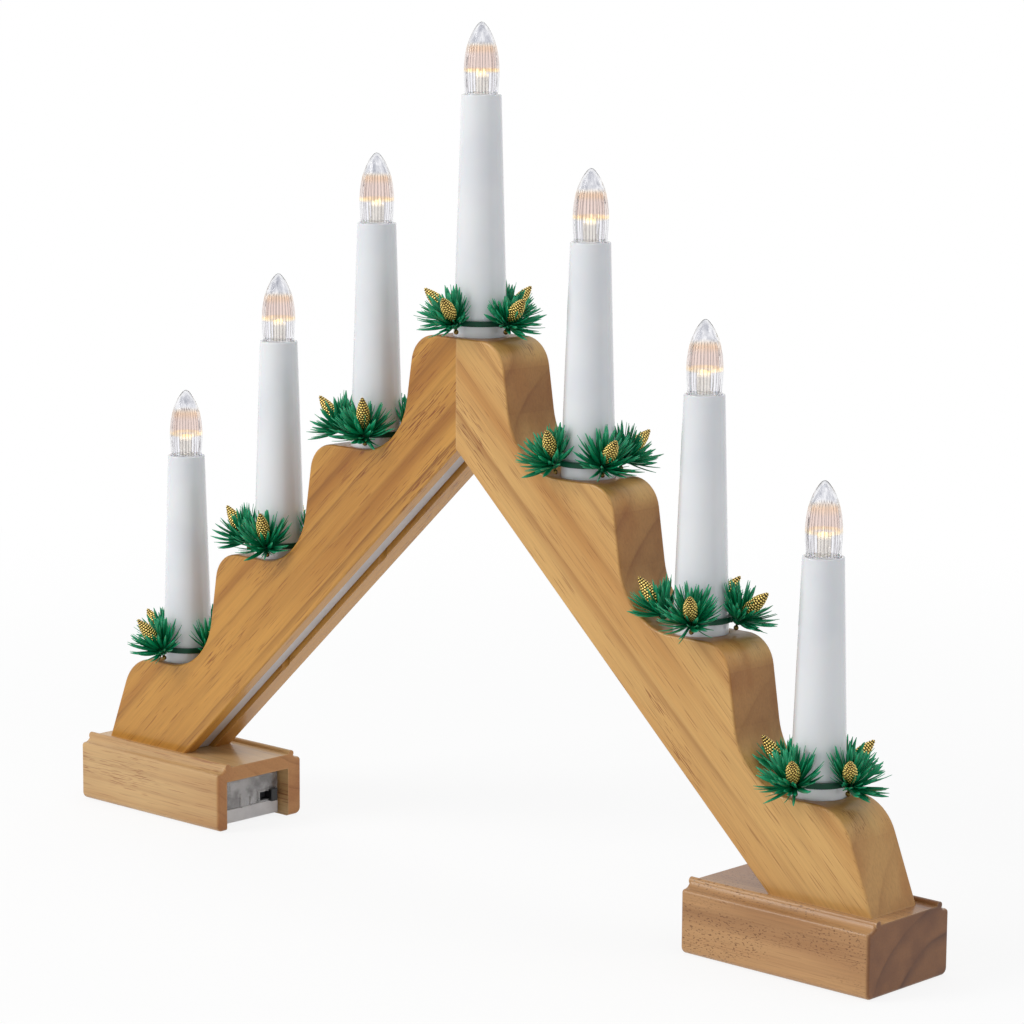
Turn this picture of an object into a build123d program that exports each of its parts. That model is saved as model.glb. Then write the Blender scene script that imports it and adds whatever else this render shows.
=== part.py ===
from build123d import *
import os
from math import asin, atan2, cos, pi, radians, sin, tan

# Stepped wooden candle arch with seven electric candles, millimetres.
# X runs along the arch, Y away from the viewer, Z up. The origin is the middle of
# the footprint on the surface that the two bases stand on.

# Overall layout
arch_length = 400.0
candle_count = 7
end_candle_inset = 39.8
overrun = 2.0

# Bases: two moulded wooden blocks
base_length = 81.5
base_width = 45.0
base_side_height = 23.2
base_floor_height = 25.2
base_lip_height = 26.6
base_lip_inner_y = 15.7
base_lip_bead_radius = 1.35
base_cove_start_y = 21.0
base_cove_sag = 0.35
base_shoulder_radius = 1.3
base_foot_radius = 2.6
base_end_radius = 1.2

# Legs: two stepped boards, mitred against each other at the top
leg_thickness = 25.0
mitre_bottom_height = 163.1
foot_inset = 51.24
tread_rises = (41.2, 44.7, 45.2, 45.7)
riser_share = 0.4382
riser_lean_degrees = 9.0
nose_radius = 11.5
sweep_radius = 24.0
end_tread_inset = 31.7
end_nose_radius = 17.0
end_lean_degrees = 21.5
leg_arris_radius = 0.9

# Groove in the underside of the legs, and the strip that covers it
groove_front_y = -6.7
groove_width = 10.0
groove_depth = 10.0
cover_recess = 2.0
cover_thickness = 1.6
cover_back_gap = 0.7
cover_end_gap = 0.3
lead_offset = 7.6

# Candles
sleeve_length = 84.0
apex_sleeve_extra = 3.5
sleeve_bottom_radius = 9.9
sleeve_top_radius = 7.3
sleeve_wall = 1.2
sleeve_rim_radius = 0.4
seat_depths = (1.4, 0.2, 0.2, 0.0, 0.2, 0.2, 1.4)
seat_clearance = 0.3
candle_hole_radius = 4.0
plug_fit = 0.05
plug_radius = 8.4
plug_height = 8.0
plug_spigot_length = 12.0
plug_bore_radius = 2.1

# Clear flame-shaped lenses and the lamps inside them
lens_height = 26.0
lens_base_radius = 6.1
lens_belly_radius = 6.5
lens_belly_height = 11.5
lens_tip_radius = 1.5
lens_wall = 1.0
lens_neck_length = 3.6
lens_neck_fit = 0.1
lens_floor_thickness = 3.4
led_radius = 2.5
led_flange_radius = 2.9
led_flange_height = 1.0
led_body_height = 6.1
led_leg_width = 0.5
led_leg_pitch = 2.54
led_leg_length = 9.0
led_leg_clearance = 0.1

# Leads
flat_lead_width = 3.6
flat_lead_thickness = 1.6
flat_lead_end_gap = 0.6
round_lead_radius = 1.0
lead_hole_radius = 2.2
lead_foot_bend_radius = 11.0
lead_apex_bend_radius = 10.0
lead_tail = 4.0

# Garlands: a green ring with four sprigs and four gilt cones
ring_height = 2.0
ring_lift = 4.2
ring_clearance = 0.15
ring_wall = 1.2
lug_radius = 1.3
lug_length = 0.5
sprigs_per_ring = 4
hub_radius = 2.2
hub_bite = 0.5
hub_sides = 8
hub_length = 3.2
needle_length = 13.0
needle_root = 1.2
needle_width = 0.95
needle_thickness = 0.55
needle_tip_width = 0.3
needle_tip_thickness = 0.22
inner_needle_count = 5
inner_needle_degrees = 31.0
outer_needle_count = 9
steep_needle_count = 11
outer_needle_degrees = 58.0
sprig_rise_degrees = 47.0
sprig_inward_trim_degrees = 14.0
steep_sprig_rise_degrees = 68.0
steep_inward_trim_degrees = 22.0
steep_outward_trim_degrees = 24.0
garland_turns = (0, 25, 25, 0, -25, 25, 0)
cone_start = 2.9
cone_length = 13.0
cone_radius = 2.6
cone_base_radius = 1.0
cone_tip_radius = 0.35
cone_row_count = 7
cone_belly_share = 0.3
cone_step_share = 0.86
stem_radius = 0.45
knob_radius = 0.95
knob_drop = 3.0
knob_inset = 0.6

# Battery box in the left base
slot_clearance = 0.7
box_center_y = -1.1
box_width = 31.6
box_length = 67.0
box_bottom = 1.2
box_top = 18.7
box_recess = 4.7
box_wall = 1.4
box_corner_radius = 1.2
box_end_clearance = 1.3
tape_length = 18.0
tape_width = 16.0
tape_inset = 8.0
lid_wall_top = 6.5
lid_clearance = 0.25
lid_tongue = 0.6
lid_tongue_thickness = 0.6
lid_grip_depth = 0.4
lid_grip_width = 1.2
lid_grip_length = 14.0
lid_grip_count = 5
cell_radius = 7.1
cell_length = 49.5
cell_button_radius = 2.75
cell_button_length = 1.0
cell_gap = 0.1
contact_thickness = 0.4
contact_width = 11.0
contact_height = 11.0
spring_length = 3.1
leaf_width = 6.0
leaf_reach = 5.0
leaf_thickness = 0.4
switch_width = 8.7
switch_height = 3.4
switch_depth = 5.2
switch_center_y = 8.2
switch_center_z = 9.2
switch_rim = 0.8
switch_rim_height = 0.5
slider_width = 3.4
slider_height = 4.8
slider_proud = 1.8
slider_gap = 0.15
slider_travel = 4.0
partition_gap = 0.4
partition_thickness = 1.0
latch_width = 6.0
latch_height = 5.4
latch_center_y = -3.4
latch_thickness = 0.5

# Fasteners
dowel_radius = 2.5
dowel_length = 22.0
dowel_y = 8.6
dowel_rise = 26.9
screw_shank_radius = 1.75
screw_head_radius = 3.4
screw_head_height = 2.0
screw_tip_length = 4.0
screw_length = 26.0
screw_inset = 29.0
screw_pitch = 12.5
screw_counterbore = 13.5
screw_slot_width = 0.9
screw_slot_depth = 0.8

# Places worked out from the sizes above
half_length = arch_length / 2
half_thickness = leg_thickness / 2
middle_candle = candle_count // 2
candle_pitch = (half_length - end_candle_inset) / middle_candle
riser_offset = candle_pitch * riser_share
base_inner_x = half_length - base_length
foot_inner_x = half_length - foot_inset
end_tread_length = half_length - end_tread_inset
leg_slope_share = (mitre_bottom_height - base_floor_height) / foot_inner_x
slope_angle = atan2(leg_slope_share, 1)
dowel_height = mitre_bottom_height + dowel_rise
screw_first_x = half_length - screw_inset
slope_rise_share = 1 / cos(slope_angle)
slot_width = box_width + slot_clearance * 2
tape_thickness = slot_clearance
slot_top = box_top + tape_thickness
box_face_x = -(base_inner_x + box_recess)
box_rear_x = box_face_x - box_length
slot_end_x = box_rear_x - box_end_clearance
groove_center_y = groove_front_y + groove_width / 2
lead_foot_x = foot_inner_x + lead_offset
sleeve_taper_share = (sleeve_bottom_radius - sleeve_top_radius) / sleeve_length
ring_inner_radius = sleeve_bottom_radius - ring_lift * sleeve_taper_share + ring_clearance
ring_outer_radius = ring_inner_radius + ring_wall
hub_place = ring_outer_radius + lug_length + hub_radius - hub_bite
hub_height = ring_lift + ring_height / 2
screw_places = (screw_first_x, screw_first_x + screw_pitch)

tread_heights = [
    mitre_bottom_height - leg_slope_share * candle_pitch * step + rise
    for step, rise in enumerate(tread_rises)
]

os.makedirs("parts", exist_ok=True)


def save(part, name):
    part.label = name
    export_step(part, f"parts/{name}.step")


def candle_x(index):
    return (index - middle_candle) * candle_pitch


def tread_z(index):
    return tread_heights[abs(index - middle_candle)]


def seat_z(index):
    return tread_z(index) - seat_depths[index]


def sleeve_height(index):
    return sleeve_length + (apex_sleeve_extra if index == middle_candle else 0)


def edge_z(x, depth=0):
    """Height of the legs' sloping underside at x, or of a line at a depth inside it."""
    return mitre_bottom_height - leg_slope_share * abs(x) + depth * slope_rise_share


def arc_middle(center, radius, start_degrees, end_degrees):
    """Point halfway round an arc, given in degrees from the first axis."""
    middle = radians((start_degrees + end_degrees) / 2)
    return (center[0] + radius * cos(middle), center[1] + radius * sin(middle))


def leg_outline(side):
    """Stepped outline of one leg in the XZ plane; side is 1 for right, -1 for left."""

    def at(point):
        return (side * point[0], point[1])

    lean = radians(riser_lean_degrees)
    end_lean = radians(end_lean_degrees)
    here = (0, tread_heights[0])
    Line(at((0, mitre_bottom_height)), at(here))
    for step in range(len(tread_heights) - 1):
        riser_x = step * candle_pitch + riser_offset
        nose = (riser_x - nose_radius, tread_heights[step] - nose_radius)
        crown = (nose[0], tread_heights[step])
        face_top = (nose[0] + nose_radius * cos(lean), nose[1] + nose_radius * sin(lean))
        sweep_z = tread_heights[step + 1] + sweep_radius
        sweep_x = face_top[0] + (sweep_radius - (sweep_z - face_top[1]) * sin(lean)) / cos(lean)
        sweep = (sweep_x, sweep_z)
        face_foot = (sweep_x - sweep_radius * cos(lean), sweep_z - sweep_radius * sin(lean))
        landing = (sweep_x, tread_heights[step + 1])
        Line(at(here), at(crown))
        nose_middle = arc_middle(nose, nose_radius, 90, riser_lean_degrees)
        ThreePointArc(at(crown), at(nose_middle), at(face_top))
        Line(at(face_top), at(face_foot))
        sweep_middle = arc_middle(sweep, sweep_radius, 180 + riser_lean_degrees, 270)
        ThreePointArc(at(face_foot), at(sweep_middle), at(landing))
        here = landing
    end_nose = (end_tread_length, tread_heights[-1] - end_nose_radius)
    end_crown = (end_tread_length, tread_heights[-1])
    end_face = (
        end_nose[0] + end_nose_radius * cos(end_lean),
        end_nose[1] + end_nose_radius * sin(end_lean),
    )
    foot_outer = (
        end_face[0] + (end_face[1] - base_floor_height) * tan(end_lean),
        base_floor_height,
    )
    Line(at(here), at(end_crown))
    end_middle = arc_middle(end_nose, end_nose_radius, 90, end_lean_degrees)
    ThreePointArc(at(end_crown), at(end_middle), at(end_face))
    Line(at(end_face), at(foot_outer))
    Line(at(foot_outer), at((foot_inner_x, base_floor_height)))
    Line(at((foot_inner_x, base_floor_height)), at((0, mitre_bottom_height)))


def band_outline(side, low, high, start_x, end_z):
    """Strip of the leg between two depths from its sloping underside, cut level at end_z."""

    def start(depth):
        return (side * start_x, edge_z(0, depth) - leg_slope_share * start_x)

    def end(depth):
        return (side * (edge_z(0, depth) - end_z) / leg_slope_share, end_z)

    Polyline(start(low), start(high), end(high), end(low), close=True)


def make_leg(side, name):
    reach = foot_inner_x + groove_depth
    with BuildPart() as leg:
        with BuildSketch(Plane.XZ.offset(-half_thickness)):
            with BuildLine():
                leg_outline(side)
            make_face()
        extrude(amount=leg_thickness)
        long_edges = (
            leg.edges()
            .filter_by(lambda e: abs(abs(e.center().Y) - half_thickness) < leg_arris_radius / 2)
            .filter_by(lambda e: abs(e.center().X) > leg_arris_radius)
            .filter_by(lambda e: e.center().Z > base_floor_height + leg_arris_radius / 2)
        )
        fillet(long_edges, radius=leg_arris_radius)
        with BuildSketch(Plane.XZ.offset(-(groove_front_y + groove_width))):
            with BuildLine():
                band_outline(side, -overrun, groove_depth, -overrun, base_floor_height - reach)
            make_face()
        extrude(amount=groove_width, mode=Mode.SUBTRACT)
        for index in range(candle_count):
            if side * (index - middle_candle) < 0:
                continue
            seat = (candle_x(index), 0, seat_z(index))
            hole_depth = seat_z(index) - max(edge_z(seat[0]), base_floor_height)
            with Locations(seat):
                Cylinder(
                    candle_hole_radius,
                    hole_depth + overrun,
                    align=(Align.CENTER, Align.CENTER, Align.MAX),
                    mode=Mode.SUBTRACT,
                )
                if index != middle_candle:
                    Cylinder(
                        sleeve_bottom_radius + seat_clearance,
                        sweep_radius / 2,
                        align=(Align.CENTER, Align.CENTER, Align.MIN),
                        mode=Mode.SUBTRACT,
                    )
        with Locations(Plane.YZ):
            with Locations((-dowel_y, dowel_height), (dowel_y, dowel_height)):
                Cylinder(dowel_radius, dowel_length, mode=Mode.SUBTRACT)
        for x in screw_places:
            with Locations((side * x, 0, base_floor_height)):
                Cylinder(
                    screw_shank_radius,
                    (screw_length - (base_floor_height - slot_top)) * 2,
                    mode=Mode.SUBTRACT,
                )
    save(leg.part, name)


def base_half_outline(half):
    """Moulded section of a base on one side of its middle, in the YZ plane."""

    def at(y, z):
        return (half * y, z)

    side_y = base_width / 2
    shoulder = (side_y - base_shoulder_radius, base_side_height - base_shoulder_radius)
    foot = (side_y - base_foot_radius, base_foot_radius)
    bead_y = base_lip_inner_y + base_lip_bead_radius
    bead = (bead_y, base_lip_height - base_lip_bead_radius)
    Line(at(0, base_floor_height), at(base_lip_inner_y, base_floor_height))
    Line(at(base_lip_inner_y, base_floor_height), at(base_lip_inner_y, bead[1]))
    bead_top = arc_middle(bead, base_lip_bead_radius, 180, 0)
    ThreePointArc(at(base_lip_inner_y, bead[1]), at(*bead_top), at(bead_y + base_lip_bead_radius, bead[1]))
    cove_top = (bead_y + base_lip_bead_radius, bead[1])
    cove_foot = (base_cove_start_y, base_side_height)
    cove_middle = (
        (cove_top[0] + cove_foot[0]) / 2 - base_cove_sag,
        (cove_top[1] + cove_foot[1]) / 2 - base_cove_sag,
    )
    ThreePointArc(at(*cove_top), at(*cove_middle), at(*cove_foot))
    Line(at(*cove_foot), at(shoulder[0], base_side_height))
    shoulder_middle = arc_middle(shoulder, base_shoulder_radius, 90, 0)
    ThreePointArc(at(shoulder[0], base_side_height), at(*shoulder_middle), at(side_y, shoulder[1]))
    Line(at(side_y, shoulder[1]), at(side_y, foot[1]))
    foot_middle = arc_middle(foot, base_foot_radius, 0, -90)
    ThreePointArc(at(side_y, foot[1]), at(*foot_middle), at(foot[0], 0))
    Line(at(foot[0], 0), at(0, 0))


def base_block(side):
    """Solid moulded block, before its holes; side is 1 for right, -1 for left."""
    start = base_inner_x if side > 0 else -half_length
    with BuildPart() as block:
        with BuildSketch(Plane.YZ.offset(start)):
            with BuildLine():
                base_half_outline(1)
                base_half_outline(-1)
            make_face()
        extrude(amount=base_length)
        corners = (
            block.edges()
            .filter_by(Axis.Z)
            .filter_by(lambda e: abs(e.center().Y) > base_cove_start_y)
        )
        fillet(corners, radius=base_end_radius)
    return block.part


def make_right_base():
    with BuildPart() as base:
        add(base_block(1))
        for x in screw_places:
            with Locations((x, 0, 0)):
                Cylinder(
                    screw_shank_radius,
                    base_floor_height + overrun,
                    align=(Align.CENTER, Align.CENTER, Align.MIN),
                    mode=Mode.SUBTRACT,
                )
                Cylinder(
                    screw_head_radius + seat_clearance,
                    screw_counterbore,
                    align=(Align.CENTER, Align.CENTER, Align.MIN),
                    mode=Mode.SUBTRACT,
                )
    save(base.part, "right_base")


def make_left_base():
    slot_length = -slot_end_x - base_inner_x
    with BuildPart() as base:
        add(base_block(-1))
        with Locations((-base_inner_x + overrun, box_center_y, 0)):
            Box(
                slot_length + overrun,
                slot_width,
                slot_top * 2,
                align=(Align.MAX, Align.CENTER, Align.CENTER),
                mode=Mode.SUBTRACT,
            )
        with Locations((-lead_foot_x, groove_center_y, slot_top)):
            Cylinder(
                lead_hole_radius,
                base_floor_height,
                align=(Align.CENTER, Align.CENTER, Align.MIN),
                mode=Mode.SUBTRACT,
            )
        for x in screw_places:
            with Locations((-x, 0, slot_top)):
                Cylinder(
                    screw_shank_radius,
                    base_floor_height,
                    align=(Align.CENTER, Align.CENTER, Align.MIN),
                    mode=Mode.SUBTRACT,
                )
                Cone(
                    screw_head_radius,
                    screw_shank_radius,
                    screw_head_height,
                    align=(Align.CENTER, Align.CENTER, Align.MIN),
                    mode=Mode.SUBTRACT,
                )
    save(base.part, "left_base")


def make_groove_cover(side, name):
    with BuildPart() as cover:
        cover_width = groove_width - cover_back_gap
        with BuildSketch(Plane.XZ.offset(-(groove_front_y + cover_width))):
            with BuildLine():
                band_outline(
                    side,
                    cover_recess,
                    cover_recess + cover_thickness,
                    cover_end_gap,
                    base_floor_height + cover_end_gap,
                )
            make_face()
        extrude(amount=cover_width)
    save(cover.part, name)


def make_sleeve(index):
    height = sleeve_height(index)
    with BuildPart() as sleeve:
        with BuildSketch(Plane.XZ):
            with BuildLine():
                Polyline(
                    (sleeve_bottom_radius - sleeve_wall, 0),
                    (sleeve_bottom_radius, 0),
                    (sleeve_top_radius, height),
                    (sleeve_top_radius - sleeve_wall, height),
                    close=True,
                )
            make_face()
        revolve(axis=Axis.Z)
        rim = sleeve.edges().group_by(Axis.Z)[-1]
        fillet(rim, radius=sleeve_rim_radius)
    save(
        sleeve.part.moved(Location((candle_x(index), 0, seat_z(index)))),
        f"candle_sleeve_{index + 1}",
    )


def rim_z(index):
    return seat_z(index) + sleeve_height(index)


def ogive_radius(belly, height, tip):
    """Radius of the arc that leaves a belly upright and reaches the tip radius at a height."""
    drop = belly - tip
    return (height * height + drop * drop) / (drop * 2)


def flame_outline(inset):
    """Half outline of the flame above the rim, drawn in by inset, from the belly to the axis."""
    belly = lens_belly_radius - inset
    tip_z = lens_height - inset
    shoulder_z = tip_z - lens_tip_radius
    radius = ogive_radius(belly, shoulder_z - lens_belly_height, lens_tip_radius)
    swing = asin((shoulder_z - lens_belly_height) / radius)
    middle = (
        belly - radius + radius * cos(swing / 2),
        lens_belly_height + radius * sin(swing / 2),
    )
    ThreePointArc((belly, lens_belly_height), middle, (lens_tip_radius, shoulder_z))
    tip_middle = (lens_tip_radius * cos(pi / 4), shoulder_z + lens_tip_radius * sin(pi / 4))
    ThreePointArc((lens_tip_radius, shoulder_z), tip_middle, (0, tip_z))


def make_lens(index):
    neck_radius = sleeve_top_radius - sleeve_wall - lens_neck_fit
    floor_top = lens_floor_thickness - lens_neck_length
    with BuildPart() as lens:
        with BuildSketch(Plane.XZ):
            with BuildLine():
                flame_outline(0)
                Line((0, lens_height), (0, lens_height - lens_wall))
                flame_outline(lens_wall)
                Polyline(
                    (lens_belly_radius - lens_wall, lens_belly_height),
                    (neck_radius - lens_wall, 0),
                    (neck_radius - lens_wall, floor_top),
                    (0, floor_top),
                    (0, -lens_neck_length),
                    (neck_radius, -lens_neck_length),
                    (neck_radius, 0),
                    (lens_base_radius, 0),
                    (lens_belly_radius, lens_belly_height),
                )
            make_face()
        revolve(axis=Axis.Z)
        with Locations((0, 0, -lens_neck_length)):
            with GridLocations(led_leg_pitch, 0, 2, 1):
                Box(
                    led_leg_width + led_leg_clearance * 2,
                    led_leg_width + led_leg_clearance * 2,
                    lens_floor_thickness * 3,
                    mode=Mode.SUBTRACT,
                )
    save(
        lens.part.moved(Location((candle_x(index), 0, rim_z(index)))),
        f"flame_lens_{index + 1}",
    )


def make_led(index):
    with BuildPart() as led:
        Cylinder(
            led_flange_radius,
            led_flange_height,
            align=(Align.CENTER, Align.CENTER, Align.MIN),
        )
        Cylinder(
            led_radius,
            led_body_height,
            align=(Align.CENTER, Align.CENTER, Align.MIN),
        )
        with Locations((0, 0, led_body_height)):
            Sphere(led_radius)
        with GridLocations(led_leg_pitch, 0, 2, 1):
            Box(
                led_leg_width,
                led_leg_width,
                led_leg_length,
                align=(Align.CENTER, Align.CENTER, Align.MAX),
            )
    floor_top = rim_z(index) - lens_neck_length + lens_floor_thickness
    save(led.part.moved(Location((candle_x(index), 0, floor_top))), f"led_{index + 1}")
    return floor_top - led_leg_length


def make_plugs():
    with BuildPart() as plugs:
        for index in range(candle_count):
            with Locations((candle_x(index), 0, seat_z(index))):
                Cylinder(
                    plug_radius,
                    plug_height,
                    align=(Align.CENTER, Align.CENTER, Align.MIN),
                )
                Cylinder(
                    candle_hole_radius - plug_fit,
                    plug_spigot_length,
                    align=(Align.CENTER, Align.CENTER, Align.MAX),
                )
                Cylinder(
                    plug_bore_radius,
                    (plug_height + plug_spigot_length) * 2,
                    mode=Mode.SUBTRACT,
                )
    save(plugs.part, "candle_plugs")


def make_led_leads(tops):
    """Flat twin leads that drop from each lamp to the groove."""
    with BuildPart() as leads:
        for index in range(candle_count):
            x = candle_x(index)
            main_lead_top = edge_z(x, lead_offset) + round_lead_radius * slope_rise_share
            bottom = max(main_lead_top, base_floor_height) + flat_lead_end_gap
            with BuildSketch(Plane.XY.offset(bottom)):
                with Locations((x, 0)):
                    SlotOverall(flat_lead_width, flat_lead_thickness)
            extrude(amount=tops[index] - bottom)
    save(leads.part, "led_leads")


def make_main_lead():
    """Lead from the battery box, up through the left base and along both grooves."""
    tail_x = foot_inner_x + lead_tail
    box_end = box_top - box_wall - round_lead_radius
    route = [
        (-lead_foot_x, groove_center_y, box_end),
        (-lead_foot_x, groove_center_y, edge_z(lead_foot_x, lead_offset)),
        (0, groove_center_y, edge_z(0, lead_offset)),
        (tail_x, groove_center_y, edge_z(tail_x, lead_offset)),
    ]
    radii = [lead_foot_bend_radius, lead_apex_bend_radius]
    with BuildPart() as lead:
        with BuildLine() as path:
            FilletPolyline(*route, radius=radii)
        with BuildSketch(Plane(origin=route[0], z_dir=(0, 0, 1))):
            Circle(round_lead_radius)
        sweep(path=path.line)
    path_length = sum(edge.length for edge in path.line.edges())
    expected = pi * round_lead_radius**2 * path_length
    print("main lead bend radii", radii, "volume share", round(lead.part.volume / expected, 3))
    save(lead.part, "main_lead")


# Garlands

def uphill_degrees(index):
    """Direction from a candle to the riser beside it, or None at the apex."""
    if index == middle_candle:
        return None
    return 180 if index > middle_candle else 0


def sprig_angles(index):
    turn = garland_turns[index]
    return [turn + 360 / sprigs_per_ring * number for number in range(sprigs_per_ring)]


def is_steep(index, angle):
    """A sprig that points at the riser stands up in front of it."""
    uphill = uphill_degrees(index)
    if uphill is None:
        return False
    apart = abs((angle - uphill + 180) % 360 - 180)
    return apart < 180 / sprigs_per_ring


def sprig_place(index, angle):
    """Location of a sprig's hub, with its local X pointing away from the candle."""
    way = radians(angle)
    return Location(
        (
            candle_x(index) + hub_place * cos(way),
            hub_place * sin(way),
            tread_z(index) + hub_height,
        ),
        (0, 0, angle),
    )


def needle_planes(steep):
    """Planes whose normals fan out about an axis that rises away from the candle."""
    rise = radians(steep_sprig_rise_degrees if steep else sprig_rise_degrees)
    inward_trim = steep_inward_trim_degrees if steep else sprig_inward_trim_degrees
    outward_trim = steep_outward_trim_degrees if steep else 0
    axis = Vector(cos(rise), 0, sin(rise))
    inward = Vector(-sin(rise), 0, cos(rise))
    across = Vector(0, 1, 0)
    layers = [(outer_needle_count, outer_needle_degrees, inward_trim, outward_trim)]
    if steep:
        layers = [(steep_needle_count, outer_needle_degrees, inward_trim, outward_trim)]
    else:
        layers.append((inner_needle_count, inner_needle_degrees, 0, 0))
    planes = []
    for count, full_lean, trim_in, trim_out in layers:
        for number in range(count):
            turn = 2 * pi * (number + 1 / 2) / count
            trim = trim_in * max(cos(turn), 0) + trim_out * max(-cos(turn), 0)
            lean = radians(full_lean - trim)
            outward = inward * cos(turn) + across * sin(turn)
            way = axis * cos(lean) + outward * sin(lean)
            side = axis.cross(outward)
            planes.append(Plane(origin=way * needle_root, x_dir=side, z_dir=way))
    return planes


def make_needle():
    with BuildPart() as needle:
        with BuildSketch(Plane.XY):
            Rectangle(needle_width, needle_thickness)
        with BuildSketch(Plane.XY.offset(needle_length - needle_root)):
            Rectangle(needle_tip_width, needle_tip_thickness)
        loft()
    return needle.part


def stem_ways(steep):
    """Seen from the hub: the way of the cone's stem, and the place of the knob under the hub.

    A steep sprig stands over the curved riser and has no knob.
    """
    rise = radians(steep_sprig_rise_degrees if steep else sprig_rise_degrees)
    cone_way = Vector(cos(rise), 0, sin(rise))
    knob = None if steep else Vector(-knob_inset, 0, -knob_drop)
    return cone_way, knob


def make_sprig(steep):
    """Moulded sprig: an eight-sided hub with needles, bored for the cone's stem."""
    needle = make_needle()
    cone_way, knob = stem_ways(steep)
    stem_ends = [cone_way] if steep else [cone_way, knob.normalized()]
    flat_x = ring_outer_radius + lug_length - hub_place
    with BuildPart() as sprig:
        with BuildSketch(Plane(origin=cone_way * (-hub_length / 2), x_dir=(0, 1, 0), z_dir=cone_way)):
            RegularPolygon(hub_radius, hub_sides)
        extrude(amount=hub_length)
        with Locations(*needle_planes(steep)):
            add(needle)
        for way in stem_ends:
            with Locations(Plane(origin=way * -stem_radius, z_dir=way)):
                Cylinder(
                    stem_radius,
                    hub_length + stem_radius,
                    align=(Align.CENTER, Align.CENTER, Align.MIN),
                    mode=Mode.SUBTRACT,
                )
        with Locations((flat_x, 0, 0)):
            Box(
                hub_radius,
                hub_radius * 3,
                hub_radius * 3,
                align=(Align.MAX, Align.CENTER, Align.CENTER),
                mode=Mode.SUBTRACT,
            )
    return sprig.part


def cone_profile_radius(share):
    """Radius of the cone's body at a share of its length, fullest near its foot."""
    if share < cone_belly_share:
        rise_share = sin(pi / 2 * share / cone_belly_share)
        return cone_base_radius + (cone_radius - cone_base_radius) * rise_share
    fall_share = (share - cone_belly_share) / (1 - cone_belly_share)
    return cone_tip_radius + (cone_radius - cone_tip_radius) * cos(pi / 2 * fall_share)


def scale_rows():
    """Half outline of the cone: one flared step for each row of scales."""
    outline = [(0, 0), (cone_base_radius * cone_step_share, 0)]
    for row in range(1, cone_row_count + 1):
        share = row / cone_row_count
        flare_share = share - 1 / cone_row_count / 3
        outline.append((cone_profile_radius(flare_share), share * cone_length))
        if row < cone_row_count:
            narrow = cone_profile_radius(share) * cone_step_share
            outline.append((narrow, share * cone_length + cone_tip_radius / 2))
    outline.append((0, cone_length + cone_tip_radius))
    return outline


def make_cone(steep):
    """Gilt cone with rows of scales, its stem through the hub and the knob below."""
    cone_way, knob = stem_ways(steep)
    with BuildPart() as cone:
        with BuildSketch(Plane.XZ):
            with BuildLine():
                Polyline(*scale_rows(), close=True)
            make_face()
        revolve(axis=Axis.Z)
    place = Plane(origin=cone_way * cone_start, z_dir=cone_way)
    with BuildPart() as gilt:
        add(place.location * cone.part)
        with Locations(Plane(origin=(0, 0, 0), z_dir=cone_way)):
            Cylinder(
                stem_radius,
                cone_start + stem_radius,
                align=(Align.CENTER, Align.CENTER, Align.MIN),
            )
        Sphere(stem_radius)
        if not steep:
            with Locations(Plane(origin=(0, 0, 0), z_dir=knob.normalized())):
                Cylinder(
                    stem_radius,
                    knob.length,
                    align=(Align.CENTER, Align.CENTER, Align.MIN),
                )
            with Locations(Location((knob.X, knob.Y, knob.Z))):
                Sphere(knob_radius)
    return gilt.part


def make_ring(index):
    x = candle_x(index)
    z = tread_z(index) + ring_lift
    with BuildPart() as ring:
        with BuildSketch(Plane.XY.offset(z)):
            with Locations((x, 0)):
                Circle(ring_outer_radius)
                for angle in sprig_angles(index):
                    with Locations(Location((0, 0, 0), (0, 0, angle))):
                        Rectangle(
                            ring_outer_radius + lug_length,
                            lug_radius * 2,
                            align=(Align.MIN, Align.CENTER),
                        )
                Circle(ring_inner_radius, mode=Mode.SUBTRACT)
        extrude(amount=ring_height)
    save(ring.part, f"garland_ring_{index + 1}")


def make_garland(index, shapes):
    make_ring(index)
    with BuildPart() as sprigs:
        for angle in sprig_angles(index):
            with Locations(sprig_place(index, angle)):
                add(shapes[is_steep(index, angle)][0])
    save(sprigs.part, f"needle_sprigs_{index + 1}")
    with BuildPart() as cones:
        for angle in sprig_angles(index):
            with Locations(sprig_place(index, angle)):
                add(shapes[is_steep(index, angle)][1])
    save(cones.part, f"pine_cones_{index + 1}")


# Battery box

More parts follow.
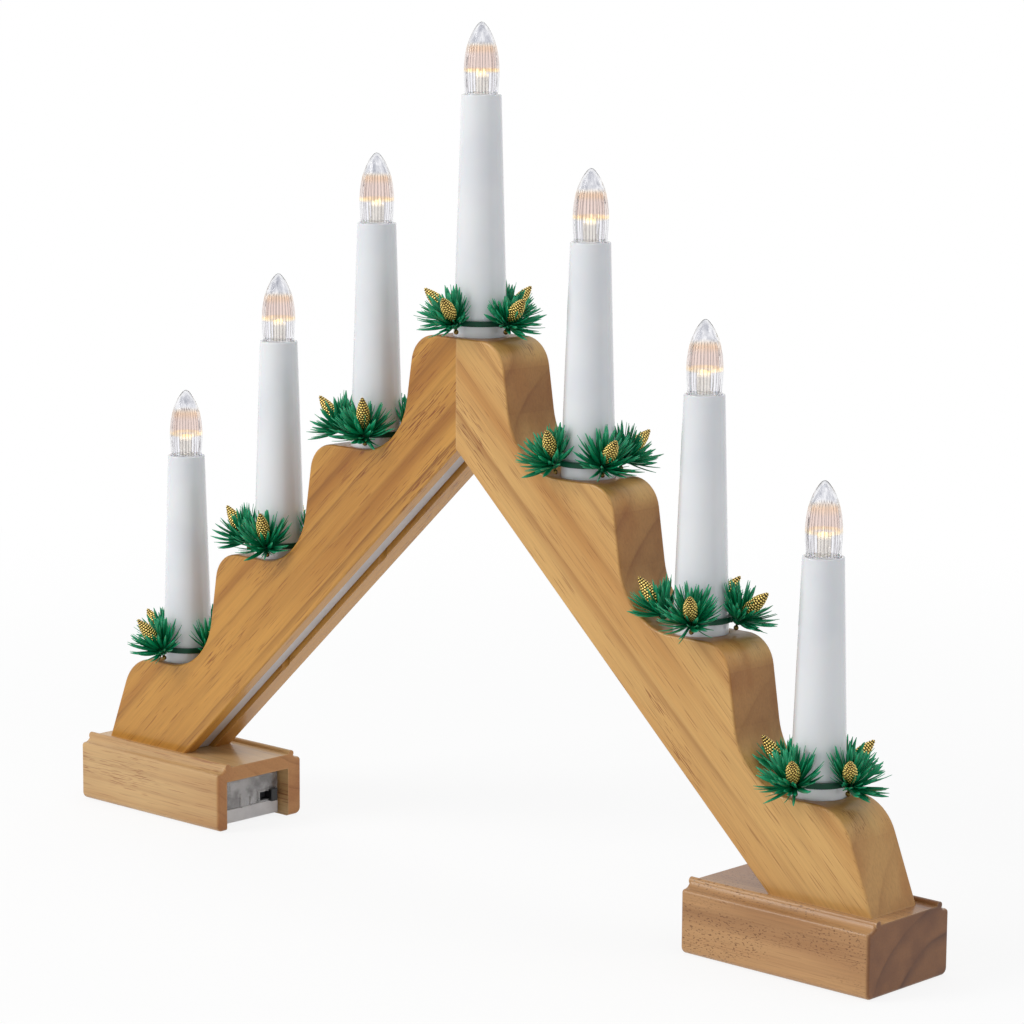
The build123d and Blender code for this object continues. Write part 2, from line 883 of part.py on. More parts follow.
def make_box_shell():
    inner_width = box_width - box_wall * 2
    lid_wall_back = box_face_x - box_wall
    floor_top = box_bottom + box_wall
    with BuildPart() as shell:
        with Locations((box_face_x, box_center_y, box_bottom)):
            Box(
                box_length,
                box_width,
                box_top - box_bottom,
                align=(Align.MAX, Align.CENTER, Align.MIN),
            )
        upright = shell.edges().filter_by(Axis.Z).group_by(Axis.X)[-1]
        fillet(upright, radius=box_corner_radius)
        with Locations((box_face_x - box_wall, box_center_y, box_bottom - overrun)):
            Box(
                box_length - box_wall * 2,
                inner_width,
                box_top - box_wall - box_bottom + overrun,
                align=(Align.MAX, Align.CENTER, Align.MIN),
                mode=Mode.SUBTRACT,
            )
        with Locations((lid_wall_back - lid_clearance, box_center_y, box_bottom - overrun)):
            Box(
                box_length,
                box_width + overrun,
                lid_wall_top + lid_clearance - box_bottom + overrun,
                align=(Align.MIN, Align.CENTER, Align.MIN),
                mode=Mode.SUBTRACT,
            )
        groove_thickness = lid_tongue_thickness + lid_clearance * 2
        with Locations((box_rear_x + box_wall, box_center_y, floor_top - box_wall / 2)):
            Box(
                box_length,
                inner_width + (lid_tongue + lid_clearance) * 2,
                groove_thickness,
                align=(Align.MIN, Align.CENTER, Align.CENTER),
                mode=Mode.SUBTRACT,
            )
        partition_x = box_face_x - box_wall - switch_depth - partition_gap
        with Locations((partition_x, box_center_y, floor_top + box_wall)):
            Box(
                partition_thickness,
                inner_width,
                box_top - box_wall - floor_top - box_wall,
                align=(Align.MAX, Align.CENTER, Align.MIN),
            )
        with Locations((-lead_foot_x, groove_center_y, box_top)):
            Cylinder(lead_hole_radius, box_wall * 3, mode=Mode.SUBTRACT)
        with Locations((box_face_x, switch_center_y, switch_center_z)):
            Box(
                switch_rim_height * 2,
                switch_width + switch_rim * 2,
                switch_height + switch_rim * 2,
            )
            Box(
                box_wall * 4,
                switch_width,
                switch_height,
                mode=Mode.SUBTRACT,
            )
        with Locations((box_face_x, latch_center_y, switch_center_z)):
            Box(latch_thickness * 2, latch_width, latch_height)
            with Locations((0, 0, -latch_thickness * 2)):
                Box(
                    latch_thickness * 4,
                    latch_width - latch_thickness * 3,
                    latch_height - latch_thickness * 2,
                    mode=Mode.SUBTRACT,
                )
        with Locations((box_face_x - box_wall / 2, box_center_y, switch_center_z)):
            with Locations((0, latch_center_y - box_center_y, 0)):
                Box(box_wall, latch_width, latch_height)
    save(shell.part, "battery_box_shell")


def make_box_lid():
    inner_width = box_width - box_wall * 2
    plate_width = inner_width - lid_clearance * 2
    plate_length = box_length - box_wall * 2 - lid_clearance
    with BuildPart() as lid:
        with Locations((box_face_x, box_center_y, box_bottom)):
            Box(
                box_wall,
                box_width,
                lid_wall_top - box_bottom,
                align=(Align.MAX, Align.CENTER, Align.MIN),
            )
        corners = lid.edges().filter_by(Axis.Z).group_by(Axis.X)[-1]
        fillet(corners, radius=box_corner_radius)
        with Locations((box_face_x - box_wall, box_center_y, box_bottom)):
            Box(
                plate_length,
                plate_width,
                box_wall,
                align=(Align.MAX, Align.CENTER, Align.MIN),
            )
        tongue_z = box_bottom + box_wall / 2
        with Locations((box_face_x - box_wall, box_center_y, tongue_z)):
            Box(
                plate_length,
                inner_width + lid_tongue * 2,
                lid_tongue_thickness,
                align=(Align.MAX, Align.CENTER, Align.CENTER),
            )
        grip_x = box_face_x - box_wall - lid_grip_width * lid_grip_count
        with Locations((grip_x, box_center_y, box_bottom)):
            with GridLocations(lid_grip_width * 2, 0, lid_grip_count, 1):
                Box(
                    lid_grip_width,
                    lid_grip_length,
                    lid_grip_depth * 2,
                    mode=Mode.SUBTRACT,
                )
    save(lid.part, "battery_box_lid")


def cell_center_z():
    return box_bottom + box_wall + cell_gap * 2 + cell_radius


def cell_front_x():
    switch_zone = box_wall + switch_depth + partition_gap + partition_thickness
    return box_face_x - switch_zone - contact_thickness - spring_length


def cell_rows():
    """Middle line of each cell and the way its button points."""
    across = cell_radius + cell_gap
    return ((box_center_y - across, 1), (box_center_y + across, -1))


def make_batteries():
    front = cell_front_x()
    rear = front - cell_length - cell_button_length
    with BuildPart() as cells:
        for y, way in cell_rows():
            body_start = rear if way > 0 else rear + cell_button_length
            button_start = body_start + cell_length if way > 0 else rear
            with BuildSketch(Plane.YZ.offset(body_start)):
                with Locations((y, cell_center_z())):
                    Circle(cell_radius)
            extrude(amount=cell_length)
            with BuildSketch(Plane.YZ.offset(button_start)):
                with Locations((y, cell_center_z())):
                    Circle(cell_button_radius)
            extrude(amount=cell_button_length)
    save(cells.part, "batteries")


def leaf_outline(end_x, end_way):
    """Sprung leaf of a contact, bowed from its plate at end_x to the flat end of the cell."""
    z = cell_center_z()
    back_reach = leaf_reach - leaf_thickness * 2
    tip = (end_x - end_way * spring_length, z)
    back = (tip[0] + end_way * leaf_thickness, z)
    ThreePointArc((end_x, z - leaf_reach), tip, (end_x, z + leaf_reach))
    Line((end_x, z + leaf_reach), (end_x, z + back_reach))
    ThreePointArc((end_x, z + back_reach), back, (end_x, z - back_reach))
    Line((end_x, z - back_reach), (end_x, z - leaf_reach))


def make_contacts():
    """Sprung contacts and flat contacts at the two ends of the cells."""
    front = cell_front_x() + spring_length
    rear = cell_front_x() - cell_length - cell_button_length - spring_length
    with BuildPart() as contacts:
        for y, way in cell_rows():
            for end_x, end_way in ((front, 1), (rear, -1)):
                with Locations((end_x, y, cell_center_z())):
                    Box(
                        contact_thickness,
                        contact_width,
                        contact_height,
                        align=(Align.MIN if end_way > 0 else Align.MAX, Align.CENTER, Align.CENTER),
                    )
                    if end_way == way:
                        Cylinder(
                            cell_button_radius,
                            spring_length,
                            rotation=(0, -90 * end_way, 0),
                            align=(Align.CENTER, Align.CENTER, Align.MIN),
                        )
                if end_way != way:
                    with BuildSketch(Plane.XZ.offset(-(y + leaf_width / 2))):
                        with BuildLine():
                            leaf_outline(end_x, end_way)
                        make_face()
                    extrude(amount=leaf_width)
    save(contacts.part, "battery_contacts")


def make_switch():
    face_back = box_face_x - box_wall
    slot_height = switch_height - slider_gap * 4
    with BuildPart() as body:
        with Locations((box_face_x - slider_gap, switch_center_y, switch_center_z)):
            Box(
                box_wall + switch_depth - slider_gap,
                switch_width - slider_gap,
                switch_height - slider_gap,
                align=(Align.MAX, Align.CENTER, Align.CENTER),
            )
        with Locations((box_face_x, switch_center_y, switch_center_z)):
            Box(
                box_wall * 2,
                slider_width + slider_travel + slider_gap * 2,
                slot_height,
                mode=Mode.SUBTRACT,
            )
    save(body.part, "switch_body")
    slider_y = switch_center_y + slider_travel / 2
    with BuildPart() as slider:
        with Locations((face_back + slider_gap, slider_y, switch_center_z)):
            Box(
                box_wall + slider_proud,
                slider_width,
                slot_height - slider_gap * 2,
                align=(Align.MIN, Align.CENTER, Align.CENTER),
            )
        cap_x = box_face_x + switch_rim_height + slider_gap
        with Locations((cap_x, slider_y, switch_center_z)):
            Box(
                slider_proud,
                slider_width,
                slider_height,
                align=(Align.MIN, Align.CENTER, Align.CENTER),
            )
        cap_edges = slider.edges().filter_by(Axis.Z).group_by(Axis.X)[-1]
        fillet(cap_edges, radius=slider_gap * 3)
    save(slider.part, "switch_slider")


def make_tape():
    with BuildPart() as tape:
        for x in (box_face_x - tape_inset - tape_length / 2, box_rear_x + tape_inset + tape_length / 2):
            with Locations((x, box_center_y, box_top)):
                Box(
                    tape_length,
                    tape_width,
                    tape_thickness,
                    align=(Align.CENTER, Align.CENTER, Align.MIN),
                )
    save(tape.part, "foam_tape")


# Fasteners

def make_dowels():
    with BuildPart() as dowels:
        with Locations(Plane.YZ):
            with Locations((-dowel_y, dowel_height), (dowel_y, dowel_height)):
                Cylinder(dowel_radius, dowel_length)
    save(dowels.part, "mitre_dowels")


def make_screw(x, head_z, taper_head):
    """Wood screw pointing up, with its head's outer face at head_z."""
    with BuildPart() as screw:
        with Locations((x, 0, head_z)):
            if taper_head:
                Cone(
                    screw_head_radius,
                    screw_shank_radius,
                    screw_head_height,
                    align=(Align.CENTER, Align.CENTER, Align.MIN),
                )
            else:
                Cylinder(
                    screw_head_radius,
                    screw_head_height,
                    align=(Align.CENTER, Align.CENTER, Align.MIN),
                )
            Cylinder(
                screw_shank_radius,
                screw_length - screw_tip_length,
                align=(Align.CENTER, Align.CENTER, Align.MIN),
            )
        with Locations((x, 0, head_z + screw_length - screw_tip_length)):
            Cone(
                screw_shank_radius,
                screw_shank_radius / 4,
                screw_tip_length,
                align=(Align.CENTER, Align.CENTER, Align.MIN),
            )
        with Locations((x, 0, head_z)):
            Box(screw_head_radius * 3, screw_slot_width, screw_slot_depth * 2, mode=Mode.SUBTRACT)
    return screw.part


def make_screws():
    with BuildPart() as screws:
        for x in screw_places:
            add(make_screw(-x, slot_top, True))
            add(make_screw(x, screw_counterbore - screw_head_height, False))
    save(screws.part, "base_screws")


make_leg(-1, "left_leg")
make_leg(1, "right_leg")
make_left_base()
make_right_base()
make_groove_cover(-1, "left_groove_cover")
make_groove_cover(1, "right_groove_cover")

lead_tops = []
for candle in range(candle_count):
    make_sleeve(candle)
    make_lens(candle)
    lead_tops.append(make_led(candle))
make_plugs()
make_led_leads(lead_tops)
make_main_lead()

garland_shapes = {steep: (make_sprig(steep), make_cone(steep)) for steep in (False, True)}
for candle in range(candle_count):
    make_garland(candle, garland_shapes)

make_box_shell()
make_box_lid()
make_batteries()
make_contacts()
make_switch()
make_tape()
make_dowels()
make_screws()
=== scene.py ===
import math
import random

import bpy
from mathutils import Matrix, Vector
from mathutils.bvhtree import BVHTree


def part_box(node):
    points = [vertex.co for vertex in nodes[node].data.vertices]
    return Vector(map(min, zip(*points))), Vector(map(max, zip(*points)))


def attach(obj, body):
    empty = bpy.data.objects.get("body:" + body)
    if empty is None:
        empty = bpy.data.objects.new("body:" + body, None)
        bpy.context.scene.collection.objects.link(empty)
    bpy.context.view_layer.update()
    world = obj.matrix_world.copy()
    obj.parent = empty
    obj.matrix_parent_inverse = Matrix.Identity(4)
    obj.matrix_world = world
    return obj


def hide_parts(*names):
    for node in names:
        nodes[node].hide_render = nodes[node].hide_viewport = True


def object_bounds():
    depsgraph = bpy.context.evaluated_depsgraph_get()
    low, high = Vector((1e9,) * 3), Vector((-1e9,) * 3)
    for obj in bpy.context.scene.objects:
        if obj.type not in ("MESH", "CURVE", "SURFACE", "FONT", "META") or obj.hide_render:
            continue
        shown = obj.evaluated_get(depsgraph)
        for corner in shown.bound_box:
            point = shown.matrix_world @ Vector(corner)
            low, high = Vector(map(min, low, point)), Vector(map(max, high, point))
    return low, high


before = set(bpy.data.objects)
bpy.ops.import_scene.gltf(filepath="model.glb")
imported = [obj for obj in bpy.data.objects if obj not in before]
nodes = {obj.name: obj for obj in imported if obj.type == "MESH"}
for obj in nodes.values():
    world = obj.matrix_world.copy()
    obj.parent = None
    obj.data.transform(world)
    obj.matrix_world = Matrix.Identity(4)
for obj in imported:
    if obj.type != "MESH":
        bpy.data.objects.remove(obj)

cad_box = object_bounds()
random.seed(7)
MM = 0.001

# Sizes shared with the solids
SLOPE = math.atan(0.927)
CANDLES = range(1, 8)
APEX_CANDLE = 4
LENS_HEIGHT = 26.0 * MM
HUB_PLACE = 0.0133
ARMS = 4
SPRIG_RISE = math.radians(47)
STEEP_SPRIG_RISE = math.radians(68)
CONE_START = 0.0029
CONE_LENGTH = 0.0130
CONE_RADIUS = 0.0026
STEM_RADIUS = 0.45 * MM
NEEDLE_REACH = 0.0142
GARLAND_TURNS = (0, 25, 25, 0, -25, 25, 0)

UP = Vector((0, 0, 1))


# Node material helper

# Sockets of the Mix node that its colour mode uses
MIX_SHARE, MIX_FIRST, MIX_SECOND, MIX_RESULT = 0, 6, 7, 2


class Look:
    """Builds one node material."""

    def __init__(self, name):
        self.material = bpy.data.materials.new(name)
        self.material.use_nodes = True
        self.tree = self.material.node_tree
        self.tree.nodes.clear()
        coords = self.tree.nodes.new("ShaderNodeTexCoord")
        self.place = coords.outputs["Object"]
        self.share_of_box = coords.outputs["Generated"]

    def feed(self, socket, value):
        if isinstance(value, bpy.types.NodeSocket):
            self.tree.links.new(value, socket)
        else:
            socket.default_value = value

    def node(self, kind, inputs=None, **settings):
        made = self.tree.nodes.new(kind)
        for key, value in settings.items():
            setattr(made, key, value)
        for key, value in (inputs or {}).items():
            self.feed(made.inputs[key], value)
        return made

    def math(self, operation, a, b=0.0, c=0.0, clamp=False):
        made = self.tree.nodes.new("ShaderNodeMath")
        made.operation = operation
        made.use_clamp = clamp
        for socket, value in zip(made.inputs, (a, b, c)):
            self.feed(socket, value)
        return made.outputs[0]

    def span(self, value, low, high, to_low=0.0, to_high=1.0):
        """Smooth step from to_low to to_high while the value goes from low to high."""
        made = self.node(
            "ShaderNodeMapRange",
            {"Value": value, "From Min": low, "From Max": high, "To Min": to_low, "To Max": to_high},
            interpolation_type="SMOOTHSTEP",
        )
        return made.outputs["Result"]

    def mix(self, share, a, b, blend="MIX"):
        made = self.tree.nodes.new("ShaderNodeMix")
        made.data_type = "RGBA"
        made.blend_type = blend
        self.feed(made.inputs[MIX_SHARE], share)
        self.feed(made.inputs[MIX_FIRST], a)
        self.feed(made.inputs[MIX_SECOND], b)
        return made.outputs[MIX_RESULT]

    def tint(self, share, colour, by):
        """Colour that is multiplied by another one, as far as share says."""
        return self.mix(share, colour, self.mix(1.0, colour, by, "MULTIPLY"))

    def noise(self, vector, scale, detail=2.0, rough=0.5, output="Fac"):
        made = self.node(
            "ShaderNodeTexNoise",
            {"Vector": vector, "Scale": scale, "Detail": detail, "Roughness": rough},
        )
        return made.outputs[output]

    def attribute(self, name):
        return self.node("ShaderNodeAttribute", attribute_name=name).outputs["Fac"]

    def dot(self, a, b):
        return self.node("ShaderNodeVectorMath", {0: a, 1: b}, operation="DOT_PRODUCT").outputs["Value"]

    def split(self, vector):
        return self.node("ShaderNodeSeparateXYZ", {"Vector": vector}).outputs

    def ramp(self, value, stops):
        """Colours between stops, each a place from 0 to 1 and a linear colour."""
        made = self.node("ShaderNodeValToRGB", {"Fac": value})
        points = made.color_ramp.elements
        while len(points) < len(stops):
            points.new(0.5)
        for point, (place, colour) in zip(points, stops):
            point.position = place
            point.color = colour if len(colour) == 4 else (*colour, 1)
        return made.outputs["Color"]

    def level(self, value, stops):
        """Values between stops, each a place from 0 to 1 and a value."""
        return self.ramp(value, [(place, (grey, grey, grey)) for place, grey in stops])

    def bump(self, height, distance, strength):
        inputs = {"Height": height, "Distance": distance, "Strength": strength}
        return self.node("ShaderNodeBump", inputs).outputs["Normal"]

    def finish(self, **inputs):
        """Main shader and output; an underscore in a name stands for a space."""
        shader = self.node("ShaderNodeBsdfPrincipled")
        for key, value in inputs.items():
            self.feed(shader.inputs[key.replace("_", " ")], value)
        self.output(shader.outputs[0])
        return self.material

    def output(self, surface):
        out = self.tree.nodes.new("ShaderNodeOutputMaterial")
        self.tree.links.new(surface, out.inputs["Surface"])


def rgb(red, green, blue):
    """Linear colour from 0 to 255 values."""
    def one(value):
        value /= 255
        return value / 12.92 if value <= 0.04045 else ((value + 0.055) / 1.055) ** 2.4
    return (one(red), one(green), one(blue), 1.0)


# Wood

RIPPLE = 0.0012
EDGE_RADIUS = 0.0011
# Pale tone of the painted highlight along rounded edges
EDGE_HIGHLIGHT_TONE = rgb(226, 192, 142)


def wood(
    name, turn, heart, spacing, pale, late, brown, end_tone, streak=0.8, band_share=0.5, brown_share=0.4,
    dash_share=0.7, dash_tone=(126, 68, 26), speck_share=0.0, warp=0.006, shift=0.0,
):
    """Solid lacquered pine whose grain runs along local X turned about Y.

    The rings of growth run round a heart line, given by its place across the grain, and are a
    spacing apart. Tones go from 0 to 255, sizes are in metres.
    """
    look = Look(name)
    place = look.node(
        "ShaderNodeMapping",
        {"Vector": look.place, "Rotation": (0, turn, 0), "Location": (shift, 0, 0)},
    ).outputs[0]
    along, across, up = look.split(place)

    def stretched(share):
        """Place in which a pattern is drawn out along the grain, more so with a smaller share."""
        run = look.math("MULTIPLY", along, share)
        return look.node("ShaderNodeCombineXYZ", {"X": run, "Y": across, "Z": up}).outputs[0]

    # Rings of growth that drift and ripple, some stronger than others
    drift = look.split(look.noise(stretched(0.14), 16.0, 2.0, 0.45, "Color"))
    ripple = look.noise(stretched(0.25), 110.0, 2.0)
    squares = []
    for way, middle, sway in zip((across, up), heart, drift):
        sway = look.math("MULTIPLY_ADD", sway, warp * 2, -middle - warp)
        from_heart = look.math("ADD", way, sway)
        squares.append(look.math("MULTIPLY", from_heart, from_heart))
    radius = look.math("SQRT", look.math("ADD", *squares))
    radius = look.math("MULTIPLY_ADD", ripple, RIPPLE, radius)
    rings = look.math("DIVIDE", radius, spacing)
    ring = look.math("FRACT", rings)
    number = look.math("FLOOR", rings)
    luck = look.node("ShaderNodeTexWhiteNoise", {"W": number}, noise_dimensions="1D").outputs["Value"]
    profile = look.level(ring, [(0.0, 0.3), (0.08, 0.0), (0.66, 0.08), (0.86, 0.6), (0.95, 1.0), (1.0, 0.3)])
    weight = look.math("MULTIPLY_ADD", luck, 0.65, 0.35)
    cloud = look.span(look.noise(stretched(0.2), 30.0, 3.0, 0.55), 0.36, 0.66)
    late_share = look.math("MULTIPLY", look.math("MULTIPLY", profile, weight), streak)
    late_share = look.math("MULTIPLY", late_share, look.math("MULTIPLY_ADD", cloud, 0.85, 0.3))

    # Pale wood with browner bands and blotches, the dark side of each ring, and fibres
    bands = look.noise(stretched(0.05), 75.0, 2.0, 0.5)
    bands = look.math("MULTIPLY", look.span(bands, 0.46, 0.74), band_share)
    colour = look.mix(bands, rgb(*pale), rgb(*brown))
    blotch = look.noise(stretched(0.16), 24.0, 3.0, 0.6)
    blotch = look.math("MULTIPLY", look.span(blotch, 0.45, 0.72), brown_share)
    colour = look.mix(blotch, colour, rgb(*brown))
    colour = look.mix(late_share, colour, rgb(*late))
    fibre = look.noise(stretched(0.02), 1300.0, 3.0, 0.6)
    grey = look.level(fibre, [(0.3, 0.88), (0.5, 0.98), (0.7, 1.05)])
    colour = look.mix(1.0, colour, grey, "MULTIPLY")

    # Dark dashes and specks, on the faces that lie along the grain
    hard = look.node("ShaderNodeNewGeometry").outputs["Normal"]
    facing = look.math("ABSOLUTE", look.dot(hard, (math.cos(turn), 0, math.sin(turn))))
    long_share = look.span(facing, 0.45, 0.15)
    patches = look.noise(stretched(0.22), 62.0, 2.0, 0.6)
    dashes = look.noise(stretched(0.055), 2500.0, 1.0, 0.35)
    dashes = look.math("MULTIPLY", look.span(dashes, 0.57, 0.65), look.span(patches, 0.49, 0.60))
    thin = look.noise(stretched(0.03), 2300.0, 1.0, 0.3)
    thin = look.math("MULTIPLY", look.span(thin, 0.64, 0.72), 0.6)
    dashes = look.math("MAXIMUM", dashes, thin)
    dashes = look.math("MULTIPLY", look.math("MULTIPLY", dashes, dash_share), long_share)
    colour = look.mix(dashes, colour, rgb(*dash_tone))
    rows = look.node(
        "ShaderNodeMapping", {"Vector": place, "Rotation": (0, -0.8, 0), "Scale": (0.3, 1.0, 1.0)},
    ).outputs[0]
    rows = look.span(look.noise(rows, 75.0, 2.0), 0.42, 0.56)
    specks = look.noise(stretched(0.45), 2100.0, 1.0, 0.3)
    specks = look.math("MULTIPLY", look.math("MULTIPLY", look.span(specks, 0.60, 0.68), rows), speck_share)
    specks = look.math("MULTIPLY", specks, long_share)
    colour = look.mix(specks, colour, rgb(*dash_tone))

    # End grain, and a painted highlight that makes the rounded edges paler
    colour = look.tint(look.span(facing, 0.1, 1.0), colour, rgb(*end_tone))
    soft = look.node("ShaderNodeBevel", {"Radius": EDGE_RADIUS}, samples=4).outputs[0]
    edge_highlight = look.math("MULTIPLY", look.span(look.dot(soft, hard), 0.99, 0.85), 0.4)
    colour = look.mix(edge_highlight, colour, look.mix(0.5, colour, EDGE_HIGHLIGHT_TONE))

    height = look.math("MULTIPLY_ADD", fibre, 0.4, look.math("MULTIPLY", late_share, 0.5))
    height = look.math("SUBTRACT", height, look.math("MULTIPLY", look.math("MAXIMUM", dashes, specks), 0.8))
    normal = look.bump(height, 0.00016, 0.4)
    rough = look.math("MULTIPLY_ADD", fibre, 0.12, 0.34)
    return look.finish(
        Base_Color=colour, Roughness=rough, Normal=normal, IOR=1.45, Specular_IOR_Level=0.3,
        Coat_Weight=0.25, Coat_Roughness=0.12, Coat_IOR=1.5,
    )


# Plastics and metals

def moulded(name, tone, shade, rough=0.3, mottle=90.0, peel=0.00003, **extra):
    """Moulded plastic: two close tones, uneven gloss and a fine skin."""
    look = Look(name)
    place = look.place
    patches = look.noise(place, mottle, 3.0, 0.55)
    colour = look.mix(look.span(patches, 0.35, 0.7), tone, shade)
    skin = look.noise(place, 1800.0, 2.0, 0.5)
    gloss = look.math("MULTIPLY_ADD", patches, 0.10, rough - 0.05)
    return look.finish(
        Base_Color=colour, Roughness=gloss, Normal=look.bump(skin, peel, 0.5), **extra,
    )


def sleeve_look():
    """Glossy white tube with faint long draw marks from its mould."""
    look = Look("sleeve_white")
    place = look.place
    x, y, z = look.split(place)
    long_place = look.node(
        "ShaderNodeCombineXYZ", {"X": x, "Y": y, "Z": look.math("MULTIPLY", z, 0.04)}).outputs[0]
    marks = look.noise(long_place, 900.0, 2.0, 0.5)
    cloud = look.noise(place, 45.0, 2.0, 0.5)
    colour = look.mix(look.span(cloud, 0.35, 0.7), rgb(228, 229, 232), rgb(221, 223, 228))
    rough = look.math("MULTIPLY_ADD", marks, 0.10, 0.16)
    peel = look.noise(place, 420.0, 2.0, 0.5)
    normal = look.bump(look.math("ADD", marks, peel), 0.00003, 0.35)
    return look.finish(
        Base_Color=colour, Roughness=rough, Normal=normal, IOR=1.5,
        Subsurface_Weight=0.08, Subsurface_Scale=0.004, Coat_Weight=0.3, Coat_Roughness=0.08,
    )


def glass_look():
    """Clear fluted plastic: painted grey shade between the flutes and at the rim, painted grey reflection
    streaks above them, and a painted warm glow where they catch the lamp.

    The rise is the height above the sleeve's rim in millimetres.
    """
    look = Look("lens_clear")
    place = look.place
    rise, rib, luck = look.attribute("rise"), look.attribute("rib"), look.attribute("luck")
    waves = look.noise(place, 260.0, 2.0, 0.5)
    fluted = look.span(rise, 19.2, 17.8)
    # Painted shade: grey in the valleys between the flutes
    painted_valley_shade = look.math("MULTIPLY", look.span(rib, 0.52, 0.08), fluted)
    # Painted reflection: long grey streaks above the flutes
    long_place = look.node("ShaderNodeMapping", {"Vector": place, "Scale": (1.0, 1.0, 0.22)}).outputs[0]
    painted_streaks = look.span(look.noise(long_place, 520.0, 2.0, 0.5), 0.42, 0.66)
    painted_streaks = look.math("MULTIPLY", painted_streaks, look.span(rise, 17.5, 19.0))
    # Painted reflection: grey where the surface turns away from the view, standing in for dark surroundings
    rim = look.node("ShaderNodeLayerWeight", {"Blend": 0.35}).outputs["Facing"]
    clear = look.mix(look.span(rim, 0.45, 0.95), rgb(252, 252, 254), rgb(184, 184, 190))
    colour = look.mix(painted_valley_shade, clear, rgb(116, 108, 112))
    colour = look.mix(look.math("MULTIPLY", painted_streaks, 0.8), colour, rgb(188, 190, 198))
    # Painted light: warm bands and glints where the lamp shines through, tinted into the colour and given off
    # as a glow though the lens is no lamp
    low = look.math("MULTIPLY", look.span(rise, 7.6, 8.4), look.span(rise, 9.6, 8.9))
    high = look.math("MULTIPLY", look.span(rise, 14.0, 16.2), look.span(rise, 19.0, 17.2))
    between = look.math("MULTIPLY", look.span(rise, 7.4, 9.0), look.span(rise, 18.2, 16.6))
    colour = look.tint(look.math("MULTIPLY", between, 0.8), colour, rgb(250, 236, 228))
    colour = look.tint(look.math("MULTIPLY", high, 0.9), colour, rgb(255, 249, 238))
    colour = look.tint(low, colour, rgb(255, 247, 226))
    glint = look.math("MULTIPLY", look.math("POWER", luck, 2.0), look.span(rib, 0.35, 0.95))
    painted_glow = look.math("MULTIPLY", low, look.math("MULTIPLY_ADD", glint, 0.42, 0.02))
    painted_glow = look.math("ADD", painted_glow, look.math("MULTIPLY", high, look.math("MULTIPLY", glint, 0.07)))
    rough = look.math("MULTIPLY_ADD", waves, 0.04, 0.02)
    return look.finish(
        Base_Color=colour, Roughness=rough, Normal=look.bump(waves, 0.00005, 0.3), IOR=1.14,
        Transmission_Weight=1.0, Emission_Color=look.mix(low, rgb(255, 214, 170), rgb(255, 232, 176)),
        Emission_Strength=painted_glow,
    )


def lamp_look():
    """Clear warm lamp, bright at its dome, with steel legs."""
    look = Look("lamp")
    height = look.split(look.share_of_box)[2]
    rise = look.span(height, 0.84, 0.97)
    grains = look.noise(look.place, 700.0, 2.0)
    colour = look.mix(rise, rgb(246, 242, 234), rgb(255, 236, 200))
    power = look.math("MULTIPLY", rise, look.math("MULTIPLY_ADD", grains, 0.5, 0.35))
    metal = look.span(height, 0.52, 0.50)
    clear = look.math("MULTIPLY", look.math("SUBTRACT", 1.0, metal), 0.85)
    return look.finish(
        Base_Color=colour, Roughness=0.2, Metallic=metal, Transmission_Weight=clear, IOR=1.3,
        Emission_Color=look.mix(grains, rgb(255, 232, 190), rgb(255, 242, 214)), Emission_Strength=power,
    )


def needle_look():
    """Green moulded blades: painted shade darkens the roots and a painted highlight lightens the tips, each
    blade a little different.
    """
    look = Look("garland_green")
    place = look.place
    along, luck = look.attribute("reach"), look.attribute("luck")
    cloud = look.noise(place, 220.0, 2.0, 0.5)
    blend = look.math("ADD", look.math("MULTIPLY", luck, 0.65), look.math("MULTIPLY", cloud, 0.45))
    colour = look.mix(look.span(blend, 0.2, 0.95), rgb(0, 110, 70), rgb(5, 145, 96))
    # Painted highlight: paler towards the tips
    colour = look.mix(look.span(along, 0.5, 1.0, 0.0, 0.7), colour, rgb(46, 170, 124))
    # Painted shade: darker at the roots, inside the tuft
    colour = look.mix(look.span(along, 0.0, 0.30, 0.45, 0.0), colour, rgb(0, 70, 46))
    ribs = look.noise(place, 1500.0, 2.0)
    rough = look.math("MULTIPLY_ADD", cloud, 0.15, 0.24)
    return look.finish(
        Base_Color=colour, Roughness=rough, Normal=look.bump(ribs, 0.00003, 0.4), IOR=1.4,
        Specular_IOR_Level=0.35, Subsurface_Weight=0.15, Subsurface_Scale=0.001,
    )


def ring_look():
    return moulded(
        "ring_green", rgb(0, 58, 40), rgb(0, 74, 50), rough=0.34, mottle=240.0,
        IOR=1.4, Specular_IOR_Level=0.35,
    )


def gilt_look():
    """Gilt plastic: painted highlights on the crests, painted brown shade between the scales."""
    look = Look("gilt")
    place = look.place
    crest = look.attribute("crest")
    specks = look.noise(place, 1100.0, 3.0, 0.6)
    # The crest value paints the light: high on the crests for a painted highlight, low between the scales for
    # painted shade
    share = look.math("ADD", crest, look.math("MULTIPLY_ADD", specks, 0.5, -0.25), clamp=True)
    colour = look.ramp(share, [
        (0.0, rgb(56, 42, 16)), (0.35, rgb(94, 75, 32)), (0.68, rgb(134, 110, 52)),
        (1.0, rgb(240, 212, 128)),
    ])
    rough = look.math("MULTIPLY_ADD", specks, 0.2, 0.12)
    return look.finish(
        Base_Color=colour, Metallic=look.math("MULTIPLY_ADD", share, 0.3, 0.7), Roughness=rough,
        Normal=look.bump(specks, 0.00006, 0.5),
    )


